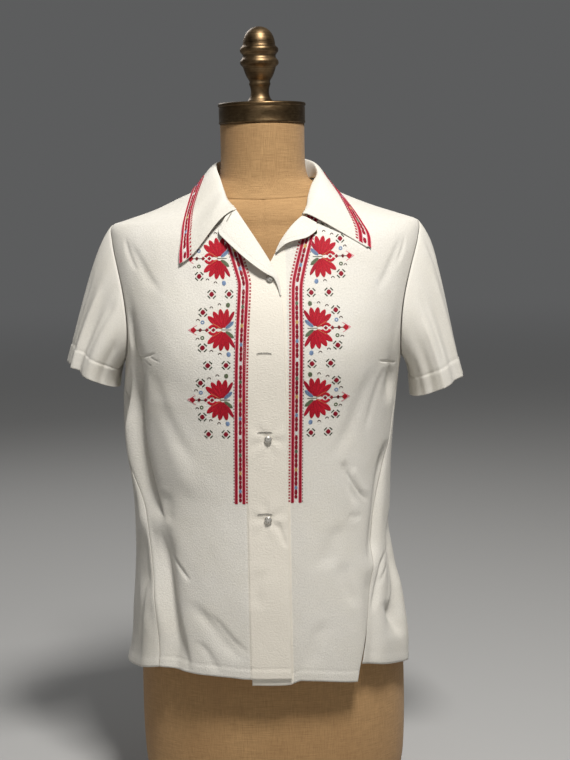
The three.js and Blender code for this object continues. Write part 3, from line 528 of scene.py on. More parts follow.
def crepe(name, tint, doubled=None):
    """Crinkled ivory crepe. Where it lies double, between two distances, it looks warmer."""
    material, tree = finish(
        name, {"Sheen Weight": 0.06, "Sheen Roughness": 0.45, "Specular IOR Level": 0.35},
    )
    crinkle = cloudy(tree, place_of(tree, (1150, 700, 1), "UV"), 1, 3, 0.65)
    pebble = cloudy(tree, place_of(tree, (620, 430, 1), "UV"), 1, 2, 0.7)
    age = cloudy(tree, place_of(tree, source="UV"), 14, 4, 0.6)
    base = blend(
        tree, ramp(tree, age, (0.4, (0, 0, 0)), (0.72, (1, 1, 1))) * 0.5,
        (*tint, 1), (tint[0] * 0.94, tint[1] * 0.925, tint[2] * 0.87, 1),
    )
    base = blend(
        tree, ramp(tree, pebble, (0.38, (1, 1, 1)), (0.6, (0, 0, 0))) * 0.3,
        base, (tint[0] * 0.7, tint[1] * 0.69, tint[2] * 0.69, 1),
    )
    if doubled:
        where = node(tree, "ShaderNodeSeparateXYZ", {}, (place_of(tree),))
        low = node(tree, "ShaderNodeMapRange", {"interpolation_type": "SMOOTHSTEP"},
                   {0: where, 1: doubled[0] - 0.0006, 2: doubled[0] + 0.0006, 3: 0, 4: 1})
        high = node(tree, "ShaderNodeMapRange", {"interpolation_type": "SMOOTHSTEP"},
                    {0: where, 1: doubled[1] - 0.0006, 2: doubled[1] + 0.0006, 3: 1, 4: 0})
        base = blend(tree, low * high * 0.85, base, (0.79, 0.735, 0.635, 1))
    grain = bump(tree, crinkle * 0.5 + pebble, 0.0007, 0.8)
    feed(
        tree, colour=base, normal=grain,
        roughness=ramp(tree, crinkle, (0.3, (0.62, 0.62, 0.62)), (0.7, (0.78, 0.78, 0.78))),
    )
    return material


IVORY = (0.74, 0.71, 0.645)
body_crepe = crepe("ivory crepe", IVORY)
CLOTH_THICK = 0.0006
SEAM_DITCH = 0.55
DITCH_WIDE = 2.6
HEM_TURN = 13


def sew_panel(name, across, up, place, material, thick=CLOTH_THICK, ring=False):
    """A sheet of cloth: a flat grid whose points place() puts on the blouse, then its thickness."""
    shape = bmesh.new()
    bmesh.ops.create_grid(shape, x_segments=across, y_segments=up, size=0.5)
    layer = shape.loops.layers.uv.new("UVMap")
    flat = {}
    for v in shape.verts:
        spot, flat[v] = place(v.co.x + 0.5, v.co.y + 0.5)
        v.co = spot * MM
    for face in shape.faces:
        for loop in face.loops:
            loop[layer].uv = flat[loop.vert] * MM
    if ring:
        bmesh.ops.remove_doubles(shape, verts=shape.verts, dist=1e-6)
    bmesh.ops.recalc_face_normals(shape, faces=shape.faces)
    middle = sum((v.co for v in shape.verts), Vector()) / len(shape.verts)
    shape.normal_update()
    inwards = sum(f.normal.dot(f.calc_center_median() - middle) for f in shape.faces)
    if inwards < 0:
        bmesh.ops.reverse_faces(shape, faces=shape.faces)
    piece = keep(shape, name, [material])
    wall = piece.modifiers.new("thickness", "SOLIDIFY")
    wall.thickness, wall.offset = thick, -1
    return piece


def ditch(distance):
    """The little valley where two pieces are sewn together, by the distance from the seam."""
    return -SEAM_DITCH * math.exp(-((distance / DITCH_WIDE) ** 2))


def turned_up(height):
    """The doubled cloth of a hem stands out a little, up to its line of stitching."""
    return 0.45 * (1 - smooth((height - HEM_TURN + 1) / 2)) - 0.5 * math.exp(
        -(((height - HEM_TURN) / 1.4) ** 2)
    )


def back_place(s, t):
    side = LEFT if s < 0.5 else RIGHT
    inwards = abs(1 - 2 * s)
    inwards += 0.22 * math.sin(math.pi * inwards)
    hem = read(BACK_HEM, 1 if side < 0 else 2, mix(180, 36, inwards))
    z = mix(hem, NECK_Z, t)
    seam = outer_angle(side, z, True)
    angle = mix(180, eased_angle(side, z, True, inwards), inwards)
    girth = 1.75 * math.sqrt(blouse_point(side, angle, z).xy.length / 100)
    from_seam = (angle - seam) * girth
    lift = ditch(from_seam) + turned_up(z - hem)
    return blouse_point(side, angle, z, lift), Vector((side * (180 - angle) * 2.4, z))


back = sew_panel("blouse_back", 208, 204, back_place, body_crepe)
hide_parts("back")


# ---------------------------------------------------------------- blouse fronts
# Two fronts cut from the same crepe, the right over the left. Each has its front edge faced, which
# makes a doubled, creamier strip down the middle. A dart points from under each arm to the bust.
RIGHT_EDGE = [
    (150, 25), (430, 25), (600, 24), (670, 23), (700, 19.5), (733, 6.5), (763, -12.5), (789, -29.5),
    (801, -37.8), (808, -46), (818, -52.5), (829, -60), (838, -68.5),
]
LEFT_EDGE = [
    (150, -26), (430, -26), (600, -26), (670, -24), (700, -14), (733, 7), (758, 22), (773, 33),
    (792, 53), (804, 59), (818, 62), (829, 66), (838, 70.8),
]
FRONT_HEM = [(0, 200, 192), (10, 201, 192), (14, 203, 197), (36, 208, 188), (40, 208, 187)]
STRIP = {RIGHT: (-28, 25), LEFT: (-26, 28)}
# the darts and the short creases beside them: depth, width, then distances from the middle and heights
SHORT = {
    RIGHT: [
        (-1.9, 1.2, [(-173, 609.5), (-156, 616), (-139, 622)]),
        (-0.6, 1.2, [(-150, 617), (-142, 612.5), (-134, 611)]),
        (-0.5, 1.1, [(-158, 612), (-150, 606), (-146, 604)]),
        (0.6, 5, [(-172, 603), (-156, 608), (-144, 614)]),
    ],
    LEFT: [
        (-1.5, 1.3, [(170, 597), (157, 602), (143, 605.5)]), (0.7, 5, [(170, 590), (157, 595), (146, 599)]),
        (-1.8, 1.2, [(100, 469), (104, 459), (111, 446), (121, 430), (134, 418)]),
        (-2.2, 4.5, [(96, 482), (99, 466), (103, 448), (110, 430), (117, 416)]),
        (1.4, 4, [(108, 470), (113, 456), (121, 441), (133, 429)]),
        (-0.9, 4.5, [(102, 408), (111, 404), (122, 406)]),
    ],
}
# share of a front's rows and of its height: they lie closer together where the dart runs
FRONT_ROWS = [(0, 0), (0.52, 0.6), (0.7, 0.675), (1, 1)]
BUTTONS = [("button_top", 7, 714), ("button_middle", 1, 513), ("button_low", -1, 409)]
FRONT_LAP = 2.6
VENT_ANGLE, VENT_TOP = 0.8, 262


def angle_at(side, x, z):
    """Ring angle of the blouse at a distance x from the middle, signed towards the given side."""
    towards = side if x * side >= 0 else -side
    half = read(BLOUSE_RINGS, 1 if towards < 0 else 2, z)
    power = read(BLOUSE_RINGS, 5, z) / 2
    angle = math.degrees(math.asin(min(1, abs(x) / half) ** power))
    return angle if towards == side else -angle


def lap_dip(x):
    return -FRONT_LAP * (1 - smooth((x - 22) / 34))


def beside(x, z, ends):
    """Distance of a place on the fronts from a straight line, and how far along the line it is."""
    (x0, z0), (x1, z1) = ends
    run_x, run_z = x1 - x0, z1 - z0
    along = ((x - x0) * run_x + (z - z0) * run_z) / (run_x * run_x + run_z * run_z)
    near = min(1, max(0, along))
    return math.hypot(x - x0 - run_x * near, z - z0 - run_z * near), near


def short_creases(side, x, z):
    lift = 0.0
    for deep, wide, line in SHORT[side]:
        margin = 3 * wide
        if abs(x - (line[0][0] + line[-1][0]) / 2) < abs(line[0][0] - line[-1][0]) / 2 + margin and (
            abs(z - (line[0][1] + line[-1][1]) / 2) < abs(line[0][1] - line[-1][1]) / 2 + margin
        ):
            near = [(*beside(x, z, ends), i) for i, ends in enumerate(zip(line, line[1:]))]
            away, along, i = min(near)
            share = (i + along) / (len(line) - 1)
            lift += deep * smooth(share * 5) * smooth((1 - share) * 3) * math.exp(-((away / wide) ** 2))
    return lift


def front_detail(side, x, z):
    """What the sewing does to a front: the step at its strip, the dart and the pull of the buttons."""
    low, high = STRIP[side]
    inner = low if side < 0 else high
    off = (x - inner) * -side
    lift = 0.45 * (smooth(off / 1.6) - 1) - 0.35 * math.exp(-((off / 1.3) ** 2))
    lift += short_creases(side, x, z)
    if side < 0:
        for _, bx, bz in BUTTONS[1:]:
            r = math.hypot(x - bx, z - bz)
            if r < 42:
                turn = math.atan2(z - bz, x - bx)
                lift -= 0.9 * math.exp(-((r / 8) ** 2))
                lift += 0.45 * math.cos(5 * turn + bz) * math.exp(-(((r - 15) / 10) ** 2))
    return lift


def front_point(side, x, z, lift=0.0):
    """A point on the outside of a front, found by its distance from the middle and its height."""
    if side > 0:
        lift += lap_dip(x)
    return blouse_point(side, angle_at(side, x, z), z, lift + front_detail(side, x, z))


def front_place(side):
    edges = RIGHT_EDGE if side < 0 else LEFT_EDGE
    column = 1 if side < 0 else 2

    def place(s, t):
        hem = read(FRONT_HEM, column, s * 38)
        z = mix(hem, NECK_Z, straight(FRONT_ROWS, t))
        inner = angle_at(side, read(edges, 1, z), z)
        seam = outer_angle(side, z, False)
        vent = VENT_ANGLE * smooth((VENT_TOP - z) / 25) if side > 0 else 0
        angle = mix(inner, eased_angle(side, z, False, s) - vent, s)
        here = blouse_point(side, angle, z)
        lift = ditch((seam - angle) * here.xy.length * math.pi / 180) + turned_up(z - hem)
        lift += front_detail(side, here.x, z) + (lap_dip(here.x) if side > 0 else 0)
        return blouse_point(side, angle, z, lift), Vector((side * angle * 2.4, z))

    return place


front_crepe = crepe("faced crepe", IVORY, doubled=(-0.028, 0.0275))
for side, name in ((RIGHT, "right"), (LEFT, "left")):
    sew_panel("blouse_front_" + name, 148, 320, front_place(side), front_crepe)
    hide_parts("front_" + name)


# ---------------------------------------------------------------- sleeves
# Short set-in sleeves, cut wider than the armhole and eased in at the head, hanging open with a
# deep turned-up hem. Each is a tube of lines that start on the armhole and end on an oval.
SLEEVES = {
    RIGHT: {"at": (-234, 8, 584), "half": 39, "deep": 62, "raised": 27},
    LEFT: {"at": (228, 8, 561), "half": 38, "deep": 64, "raised": 22},
}
# turn round the sleeve from the underarm, front first; width and depth; where it starts and ends
SLEEVE_FOLDS = {
    RIGHT: [
        (0.33, 0.035, -9, 0, 2), (0.24, 0.04, 4, 0, 2), (0.42, 0.03, -4, 0, 2), (0.72, 0.05, -6, 0, 2),
        (0.285, 0.014, -2.4, 0.1, 1), (0.375, 0.012, 2, 0.25, 2), (0.46, 0.014, -1.6, 0.3, 2),
        (0.18, 0.02, -2, 0.2, 2), (0.53, 0.02, -2, 0.2, 2), (0.62, 0.018, 2.4, 0.1, 2),
        (0.8, 0.02, -2.4, 0.2, 2),
    ],
    LEFT: [
        (0.36, 0.035, -5, 0, 2), (0.2, 0.04, -6, 0, 2), (0.7, 0.05, -6, 0, 2),
        (0.27, 0.014, 2, 0.3, 2), (0.31, 0.012, -1.8, 0.15, 0.9), (0.42, 0.014, 1.8, 0.2, 2),
        (0.47, 0.014, -2, 0.02, 0.6), (0.52, 0.012, 1.6, 0.02, 0.5), (0.56, 0.012, -1.6, 0.02, 0.5),
        (0.62, 0.02, 2, 0.1, 2), (0.79, 0.02, -2.2, 0.2, 2), (0.13, 0.02, -2, 0.3, 2),
    ],
}
SLEEVE_HEM, SLEEVE_HEM_OUT = 25, 0.6
SET_IN_GAP = 0.3


def curve(start, leave, end, arrive, t):
    t2, t3 = t * t, t * t * t
    return (
        start * (2 * t3 - 3 * t2 + 1) + leave * (t3 - 2 * t2 + t)
        + end * (3 * t2 - 2 * t3) + arrive * (t3 - t2)
    )


def armhole_point(side, u, lift=0.0):
    """A point of the armhole, from the underarm up the front to the shoulder and down the back."""
    z = mix(ARMPIT_Z, SHOULDER_Z, (1 - math.cos(2 * math.pi * u)) / 2)
    return blouse_point(side, outer_angle(side, z, u > 0.5), z, lift)


def sleeve_place(side, columns):
    spec = SLEEVES[side]
    tilt = math.radians(spec["raised"])
    loop = [armhole_point(side, i / columns) for i in range(columns + 1)]
    gone = [0.0]
    for a, b in zip(loop, loop[1:]):
        gone.append(gone[-1] + (b - a).length)
    lines = []
    for i, start in enumerate(loop):
        turn = gone[i] / gone[-1]
        phase = FULL_TURN * turn
        high = (start.z - ARMPIT_Z) / (SHOULDER_Z - ARMPIT_Z)
        outward = -math.cos(phase) * spec["half"]
        end = Vector(spec["at"]) + Vector((
            side * outward * math.cos(tilt), -math.sin(phase) * spec["deep"], outward * math.sin(tilt)
        ))
        reach = (end - start).length
        leave = Vector((side * mix(0.8, 0.7, high), 0, mix(-0.6, -0.72, high)))
        arrive = Vector((side * mix(0.1, 0.3, high), 0, -0.96)) * reach * 0.9
        gap = Vector((side * SET_IN_GAP, 0, 0.8 * (1 - smooth(high * 3))))
        lines.append((turn, start + gap, leave * reach * mix(0.8, 0.55, high), end, arrive, reach))

    def place(s, t):
        turn, start, leave, end, arrive, reach = lines[round(s * columns)]
        phase = FULL_TURN * turn
        spot = curve(start, leave, end, arrive, t)
        from_end, from_seam = (1 - t) * reach, t * reach
        depth = SLEEVE_HEM_OUT * (1 - smooth((from_end - SLEEVE_HEM + 1) / 2))
        depth -= 0.7 * math.exp(-(((from_end - SLEEVE_HEM) / 1.6) ** 2))
        for at, wide, deep, first, last in SLEEVE_FOLDS[side]:
            off = (turn - at) / wide
            if abs(off) < 3.2 and t > first:
                fade = smooth((t - first) * 1.4 if first == 0 else (t - first) * 5)
                depth += deep * fade * smooth((last - t) * 4) * math.exp(-off * off)
        depth += ditch(from_seam)
        out = Vector((-math.cos(phase) * side, -math.sin(phase), 0))
        return spot + out * depth, Vector((turn * gone[-1], -from_end))

    return place


SLEEVE_AROUND = 200
for side, name in ((RIGHT, "right"), (LEFT, "left")):
    sew_panel(
        "blouse_sleeve_" + name, SLEEVE_AROUND, 90, sleeve_place(side, SLEEVE_AROUND), body_crepe,
        ring=True,
    )
    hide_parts("sleeve_" + name)


# ---------------------------------------------------------------- lapels
# The top of each front turned back along a soft roll. The faced side shows. The right lapel stands
# off the chest along its lower edge.
# roll line x and height, free edge x and height, how far the free edge stands off
LAPELS = {
    RIGHT: [
        (20.4, 693, 19.4, 693, 1.2), (18.6, 705, 16.6, 704.6, 3), (14.9, 716, 11.6, 715, 5),
        (11.3, 723.5, 3.6, 720.3, 8), (5, 735, -6.5, 727.5, 10.5), (-4.5, 750.5, -20.5, 739, 11),
        (-14, 765.5, -33.5, 751, 10), (-23.5, 780, -47, 764, 8), (-32, 792.5, -54, 771, 6.5),
        (-39.5, 804, -55.5, 777, 5),
    ],
    LEFT: [
        (15.3, 747.2, 16, 746.8, 1.4), (18, 751.5, 20.4, 751.2, 2.6), (21.8, 757.3, 27, 756.8, 5),
        (26.2, 763.6, 35, 760.4, 6.5), (31.3, 770.5, 44, 762.4, 7.5), (38, 778.5, 54.5, 765.5, 7),
        (46, 786, 65.5, 774, 6), (52, 790.5, 65.5, 782.5, 4.5),
    ],
}
# across the roll: shift out from the roll line, and height over the front
ROLL_TURN = [(-1.8, -0.6), (-2.5, 0.2), (-2.7, 1.2), (-2.3, 2.3), (-1.2, 3)]
LAPEL_BOW = {RIGHT: 1.4, LEFT: 0.6}
ROLL_SHARE = 0.16


def lapel_point(side, s, t, raised=0.0):
    """A point of a lapel: s round the roll and out to the edge, t up from the lowest button."""
    rows = [(i, *row) for i, row in enumerate(LAPELS[side])]
    at = t * (len(rows) - 1)
    roll_x, roll_z, edge_x, edge_z, stand = (read(rows, c, at) for c in range(1, 6))
    width = math.hypot(edge_x - roll_x, edge_z - roll_z)
    full = mix(0.3, 1, smooth(at / 2.5))
    if s < ROLL_SHARE:
        turn_rows = [(i, *row) for i, row in enumerate(ROLL_TURN)]
        k = s / ROLL_SHARE * (len(turn_rows) - 1)
        shift, lift = read(turn_rows, 1, k) * full, read(turn_rows, 2, k) * full
    else:
        k = (s - ROLL_SHARE) / (1 - ROLL_SHARE)
        shift = mix(-1.2 * full, width, k)
        lift = mix(3 * full, stand, k) + LAPEL_BOW[side] * full * math.sin(math.pi * k)
        lift += 0.35 * math.exp(-(((1 - k) * width / 1.6) ** 2))
        lift -= 0.3 * math.exp(-((((1 - k) * width - 5) / 1.2) ** 2))
    x = roll_x + (edge_x - roll_x) / width * shift
    z = roll_z + (edge_z - roll_z) / width * shift
    spot = blouse_point(side, angle_at(side, x, z), z, lift + raised)
    return spot, Vector((s * width, at * 16))


doubled_crepe = crepe("double crepe", (0.755, 0.725, 0.655))
for side, name in ((RIGHT, "right"), (LEFT, "left")):
    sew_panel(
        "blouse_lapel_" + name, 40, 90, lambda s, t: lapel_point(side, s, t), doubled_crepe,
        thick=0.0009,
    )
    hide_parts("lapel_" + name)


# ---------------------------------------------------------------- collar
# A one-piece collar, double, standing up the neck from its seam and falling over the shoulders to
# two long points. The wearer's left point is rounder.
# side, seam height or (under 200) seam ring angle, roll x y z, edge x y z; an edge without a y lies
# on the front
COLLAR = [
    (RIGHT, 801, (-38, -80, 800), (-104.5, None, 734)), (RIGHT, 811, (-47.5, -75, 814), (-104, None, 749)),
    (RIGHT, 819, (-51.5, -57, 826), (-102, None, 765)), (RIGHT, 829, (-56, -33, 841), (-99, None, 789)),
    (RIGHT, 90, (-61.5, 0, 855), (-93, -12, 826)), (RIGHT, 122, (-60, 34, 863), (-90, 42, 823)),
    (RIGHT, 152, (-36, 61, 868), (-56, 86, 812)), (RIGHT, 180, (0, 70, 869), (0, 98, 806)),
    (LEFT, 152, (38, 62, 868), (58, 86, 811)), (LEFT, 122, (64, 36, 862), (89, 42, 822)),
    (LEFT, 90, (72, 2, 850), (94, -8, 826)), (LEFT, 831, (73, -28, 837), (112, None, 801)),
    (LEFT, 816, (68, -52, 819), (127, None, 778)), (LEFT, 803, (62, -70, 805), (134, None, 764)),
    (LEFT, 792, (53, -84, 794.5), (135, None, 747)),
]
COLLAR_LIFT, COLLAR_STEP = {RIGHT: 5, LEFT: 2.6}, 1.2
# the right front edge of the collar bows: over how many stations, how it leaves the roll and ends
FRONT_BOW = (1.6, Vector((-85, -42, -35)), Vector((-85, 5, -35)))
STAND_SHARE = 0.22
LAST = len(COLLAR) - 1


def blouse_normal(side, angle, z):
    along = blouse_point(side, angle + 1.5, z) - blouse_point(side, angle - 1.5, z)
    up = blouse_point(side, angle, z + 4) - blouse_point(side, angle, z - 4)
    return along.cross(up).normalized() * side


def collar_station(i):
    side, seam, roll, edge = COLLAR[i]
    z, angle = (NECK_Z + 1.8, seam) if seam < 200 else (seam, None)
    if angle is None:
        edges = RIGHT_EDGE if side < 0 else LEFT_EDGE
        angle = angle_at(side, read(edges, 1, z) - side * 2.4, z)
    inwards = blouse_normal(side, angle, z)
    inwards.z = 0
    foot = blouse_point(side, angle, z) - inwards.normalized() * COLLAR_STEP
    x, y, z = edge
    free = blouse_point(side, angle_at(side, x, z), z, COLLAR_LIFT[side]) if y is None else Vector(edge)
    return (i, *foot, *roll, *free, 0 if seam < 200 else -7 * side)


STATIONS = [collar_station(i) for i in range(len(COLLAR))]


def collar_point(s, t, lift=0.0):
    """A point of the collar: s up the stand and out over the fall, t from right end to left end."""
    at = t * LAST
    foot, roll, edge = (Vector([read(STATIONS, c + k, at) for k in range(3)]) for c in (1, 4, 7))
    out = edge - roll
    out.z = 0
    out.normalize()
    fall = edge - roll
    leave = out * 26
    if at < FRONT_BOW[0]:
        bowed = smooth(1 - at / FRONT_BOW[0])
        leave, fall = leave.lerp(FRONT_BOW[1], bowed), fall.lerp(FRONT_BOW[2], bowed)
    if s < STAND_SHARE:
        stand = roll - foot
        stand.x, stand.z = read(STATIONS, 10, at), stand.z + 4
        spot = curve(foot, stand, roll, out * 6, s / STAND_SHARE)
        return spot - out * lift
    k = (s - STAND_SHARE) / (1 - STAND_SHARE)
    spot = curve(roll, leave, edge, fall, k)
    over = curve(roll, leave, edge, fall, min(1, k + 0.02)) - curve(roll, leave, edge, fall, k - 0.02)
    raised = over.cross(Vector((-out.y, out.x, 0)))
    return spot + raised.normalized() * lift


def collar_place(s, t):
    at = t * LAST
    k = max(0, (s - STAND_SHARE) / (1 - STAND_SHARE))
    wide = 34 + 30 * smooth(abs(at - 7) / 5)
    from_edge = (1 - k) * wide
    lift = 0.35 * math.exp(-((from_edge / 1.4) ** 2)) if k else 0
    from_end = min(t, 1 - t) * 460
    lift += 0.3 * math.exp(-((from_end / 1.4) ** 2))
    nearest = smooth((at - 13.6) / 0.4) if at > 13.6 else 0
    s = mix(s, min(s, 1 - 0.05 * nearest * nearest), smooth(k * 1.5))
    return collar_point(s, t, lift), Vector((t * 460, -from_edge))


collar = sew_panel("blouse_collar", 84, 240, collar_place, doubled_crepe, thick=0.001)
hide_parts("collar")


# ---------------------------------------------------------------- buttons
# Three domed shank buttons of moulded glass with a silvery pearl finish and a turned rim.
glass, tree = finish("silvered pearl glass", {"Metallic": 0.55, "Coat Weight": 0.6, "Coat Roughness": 0.12})
swirl = cloudy(tree, place_of(tree), 520, 3, 0.55)
feed(
    tree,
    colour=ramp(tree, swirl, (0.35, (0.33, 0.31, 0.27)), (0.62, (0.66, 0.64, 0.59))),
    roughness=ramp(tree, swirl, (0.3, (0.2, 0.2, 0.2)), (0.7, (0.34, 0.34, 0.34))),
)
BUTTON_PROFILE = [
    (0, 0), (3, 0), (3.9, 0.2), (4.6, 0.6), (4.85, 1.1), (4.7, 1.6), (4.35, 1.8), (4.2, 1.95),
    (4, 2.35), (3.4, 2.85), (2.5, 3.25), (1.3, 3.5), (0, 3.6),
]
for name, x, z in BUTTONS:
    domed = turn_round("pearl_" + name, BUTTON_PROFILE, 0, (0, 0), 40, glass)
    out = blouse_normal(RIGHT, angle_at(RIGHT, x, z), z)
    seat = blouse_point(RIGHT, angle_at(RIGHT, x, z), z, 0.5) * MM
    domed.data.transform(out.to_track_quat("Z", "Y").to_matrix().to_4x4())
    domed.data.transform(Matrix.Translation(seat))
    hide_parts(name)


# ---------------------------------------------------------------- stitching and embroidery
# Folk embroidery in cotton floss, worked in satin and cross stitch: a banded border up each front
# with three carnation flowers and their small rosettes beside it, and the same border round the
# edge of the collar. Every stitch is a small rounded bar of thread on the cloth. Charts are in
# millimetres, with the first number leading away from the front edge.
FLOSS = {
    "red": (0.5, 0.006, 0.022), "wine": (0.17, 0.004, 0.014), "sage": (0.125, 0.155, 0.085),
    "blue": (0.2, 0.29, 0.46), "ochre": (0.62, 0.38, 0.13), "moss": (0.055, 0.068, 0.04),
    "umber": (0.095, 0.06, 0.05), "white": (0.82, 0.81, 0.78), "ivory": (0.66, 0.625, 0.55),
    # shadow is painted shadow, not a thread of the embroidery: the near-black line in each buttonhole's
    # slit, where the gap would lie in shade
    "shadow": (0.035, 0.028, 0.02), "pink": (0.74, 0.25, 0.29),
    "berry": (0.3, 0.005, 0.022), "crimson": (0.4, 0.004, 0.024),
}
SHADES = list(FLOSS)
floss = []
for shade_name, tint in FLOSS.items():
    cotton, tree = finish(
        shade_name + " floss", {"Roughness": 0.6, "Specular IOR Level": 0.25}
    )
    strands = cloudy(tree, place_of(tree), 900, 2, 0.6)
    deep = tuple(c * 0.62 for c in tint)
    feed(tree, colour=ramp(tree, strands, (0.32, deep), (0.62, tint)))
    floss.append(cotton)


# The flower's parts all lie on whole or half turns from its axis. Sizes are in degrees and millimetres.
TURN, FOOT, PETAL_LONG, PETAL_WIDE, OVER = 20, 3, 26, 7, 31
EYE_AT, EYE_INNER, EYE_OUTER, CHAIN_STEP = 13, 3.5, 7, 8


class Needlework:
    """Stitches on one surface, gathered into a single mesh."""

    def __init__(self, cloth):
        self.cloth, self.points, self.faces, self.shades = cloth, [], [], []
        self.chance = random.Random(5)

    def stitch(self, a, b, wide, shade, high=0.34):
        a, b = Vector(a), Vector(b)
        run = b - a
        if run.length < 0.2:
            return
        across = Vector((-run.y, run.x)).normalized() * wide * 0.52
        first = len(self.points)
        high *= self.chance.uniform(0.85, 1.15)
        for end, inner in ((a, a + run * 0.14), (b, b - run * 0.14)):
            for off in (across, -across):
                self.points.append(self.cloth(*(end + off), 0.22) * MM)
            self.points.append(self.cloth(*inner, high + 0.2) * MM)
        for corners in ((0, 2, 5, 3), (2, 1, 4, 5), (0, 1, 2), (3, 5, 4)):
            self.faces.append([first + c for c in corners])
            self.shades.append(SHADES.index(shade))

    def fill(self, outline, slant, shade, step=0.62, longest=5.5):
        """Satin stitch across an outline, laid at a slant in degrees."""
        turn = Matrix.Rotation(math.radians(-slant), 2)
        back = turn.transposed()
        corners = [turn @ Vector(p) for p in outline]
        row = min(p.y for p in corners) + step / 2
        odd = 0
        while row < max(p.y for p in corners):
            crossings = []
            for p, q in zip(corners, corners[1:] + corners[:1]):
                if (p.y > row) != (q.y > row):
                    crossings.append(p.x + (q.x - p.x) * (row - p.y) / (q.y - p.y))
            crossings.sort()
            for start, end in zip(crossings[::2], crossings[1::2]):
                parts = math.ceil((end - start) / longest)
                stops = [start] + [
                    mix(start, end, (i + (0.2 if odd else -0.2)) / parts) for i in range(1, parts)
                ] + [end]
                for x0, x1 in zip(stops, stops[1:]):
                    self.stitch(back @ Vector((x0, row)), back @ Vector((x1, row)), step, shade)
            row += step
            odd = 1 - odd

    def leaf(self, tip, foot, wide, shade, lean=35):
        """A pointed leaf, stitched at a slant to its length."""
        tip, foot = Vector(tip), Vector(foot)
        run = foot - tip
        across = Vector((-run.y, run.x)).normalized() * wide / 2
        shares = [0, 0.12, 0.3, 0.5, 0.7, 0.88, 1]
        belly = [0.25, 0.72, 0.98, 1, 0.98, 0.72, 0.25]
        sides = [tip + run * t + across * w for t, w in zip(shares, belly)]
        sides += [tip + run * t - across * w for t, w in zip(shares[::-1], belly)]
        self.fill(sides, math.degrees(math.atan2(run.y, run.x)) + 90 - lean, shade)

    def line(self, points, wide, shade, pitch=1.5):
        """Stem stitch along a broken line."""
        for a, b in zip(points, points[1:]):
            a, b = Vector(a), Vector(b)
            count = max(1, round((b - a).length / pitch))
            for i in range(count):
                lap = 0.15 * (b - a) / count
                here, there = a + (b - a) * i / count, a + (b - a) * (i + 1) / count
                self.stitch(here - lap, there + lap, wide, shade, 0.28)

    def cross(self, at, size, shade):
        x, y = at
        h = size / 2
        self.stitch((x - h, y - h), (x + h, y + h), size * 0.45, shade, 0.3)
        self.stitch((x - h, y + h), (x + h, y - h), size * 0.45, shade, 0.4)

    def rosette(self, at):
        x, y = at
        self.fill([(x - 3.4, y), (x - 1.6, y + 2.4), (x, y + 3.4), (x + 1.6, y + 2.4), (x + 3.4, y),
                   (x + 1.6, y - 2.4), (x, y - 3.4), (x - 1.6, y - 2.4)], 45, "berry", 0.58)
        for dx, dy in ((1, 1), (1, -1), (-1, 1), (-1, -1)):
            self.stitch((x + dx * 1.8, y + dy * 5.2), (x + dx * 5.2, y + dy * 1.8), 1.4, "moss", 0.3)

    def flower(self, at):
        """A carnation on its side: equal petals fanned about its foot, with small things over their tips."""
        def spot(turns, far):
            angle = math.radians(turns * TURN)
            return Vector(at) + Vector((math.cos(angle), math.sin(angle))) * far

        def arc(middle, radius, first, last):
            turns = [math.radians(first + (last - first) * i / 8) for i in range(9)]
            return [middle + Vector((math.cos(t), math.sin(t))) * radius for t in turns]

        def diamond(place, half, shade):
            middle = spot(0, EYE_AT + place * CHAIN_STEP)
            self.fill([middle + Vector(d) * half for d in ((1, 0), (0, 1), (-1, 0), (0, -1))], 45, shade)

        eye = spot(0, EYE_AT)
        for up, pale, other in ((1, "blue", "sage"), (-1, "sage", "blue")):
            for turns in (2, 3, 4, 5):
                tip, root = spot(turns * up, PETAL_LONG), spot(turns * up, FOOT)
                self.leaf(tip, root, PETAL_WIDE, "red", 30 * up)
                self.line([root, tip], 0.6, "wine", 1.6)
            self.line([spot(1.5 * up, FOOT), spot(1.5 * up, PETAL_LONG * 0.6)], 0.9, "ochre")
            rim = arc(eye, EYE_OUTER, TURN * up, (180 - TURN) * up)
            self.fill(rim + arc(eye, EYE_INNER, (180 - TURN) * up, TURN * up), 90, "red")
            self.leaf(spot(6 * up, PETAL_LONG), spot(6 * up, 2 * FOOT), 4.6, "crimson")
            self.leaf(spot(7 * up, PETAL_LONG * 0.6), spot(7 * up, FOOT), 4.8, pale)
            self.line([spot(7 * up, PETAL_LONG * 0.6), spot(7 * up, FOOT)], 0.6, "moss")
            self.rosette(spot(2 * up, OVER + 3))
            for turns in (3, 4):
                self.line(arc(spot(turns * up, OVER), 1.8, 0, 180), 0.95, "umber", 1.3)
            self.leaf(spot(5 * up, OVER + 3), spot(5 * up, OVER - 3), 5, other)
            self.line(arc(spot(up, OVER - 3), 1.8, 0, 360), 1.4, pale, 1)
            self.line(arc(spot(up, OVER + 3), 1.8, 0, 180), 0.95, "umber", 1.3)
            self.line([spot(0.5 * up, OVER + 3), spot(0, OVER + 12)], 0.8, "pink")
        self.line([spot(9, 3 * FOOT), spot(0, FOOT)], 0.8, "moss")
        self.line([spot(0, EYE_AT + CHAIN_STEP), spot(0, EYE_AT + 3 * CHAIN_STEP)], 0.9, "moss")
        for place, half, shade in ((0, 2.5, "berry"), (1, 2.5, "berry"), (2, 2.5, "wine"), (3, 4, "red")):
            diamond(place, half, shade)

    def piece(self, name):
        mesh = bpy.data.meshes.new(name)
        mesh.from_pydata(self.points, [], self.faces)
        for material in floss:
            mesh.materials.append(material)
        mesh.polygons.foreach_set("material_index", self.shades)
        mesh.polygons.foreach_set("use_smooth", [True] * len(self.faces))
        made = bpy.data.objects.new(name, mesh)
        bpy.context.collection.objects.link(made)
        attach(made, BODY)
        return made


# across the border from its inner side: dots, line, chain, line, small dots
BORDER = {"dots": -8.4, "inner": -4.4, "outer": 5.2, "specks": 8}
SPOTS = ["white", "blue", "ochre", "sage"]
SPOT_PITCH, DOT_PITCH = 23.4, 4.0


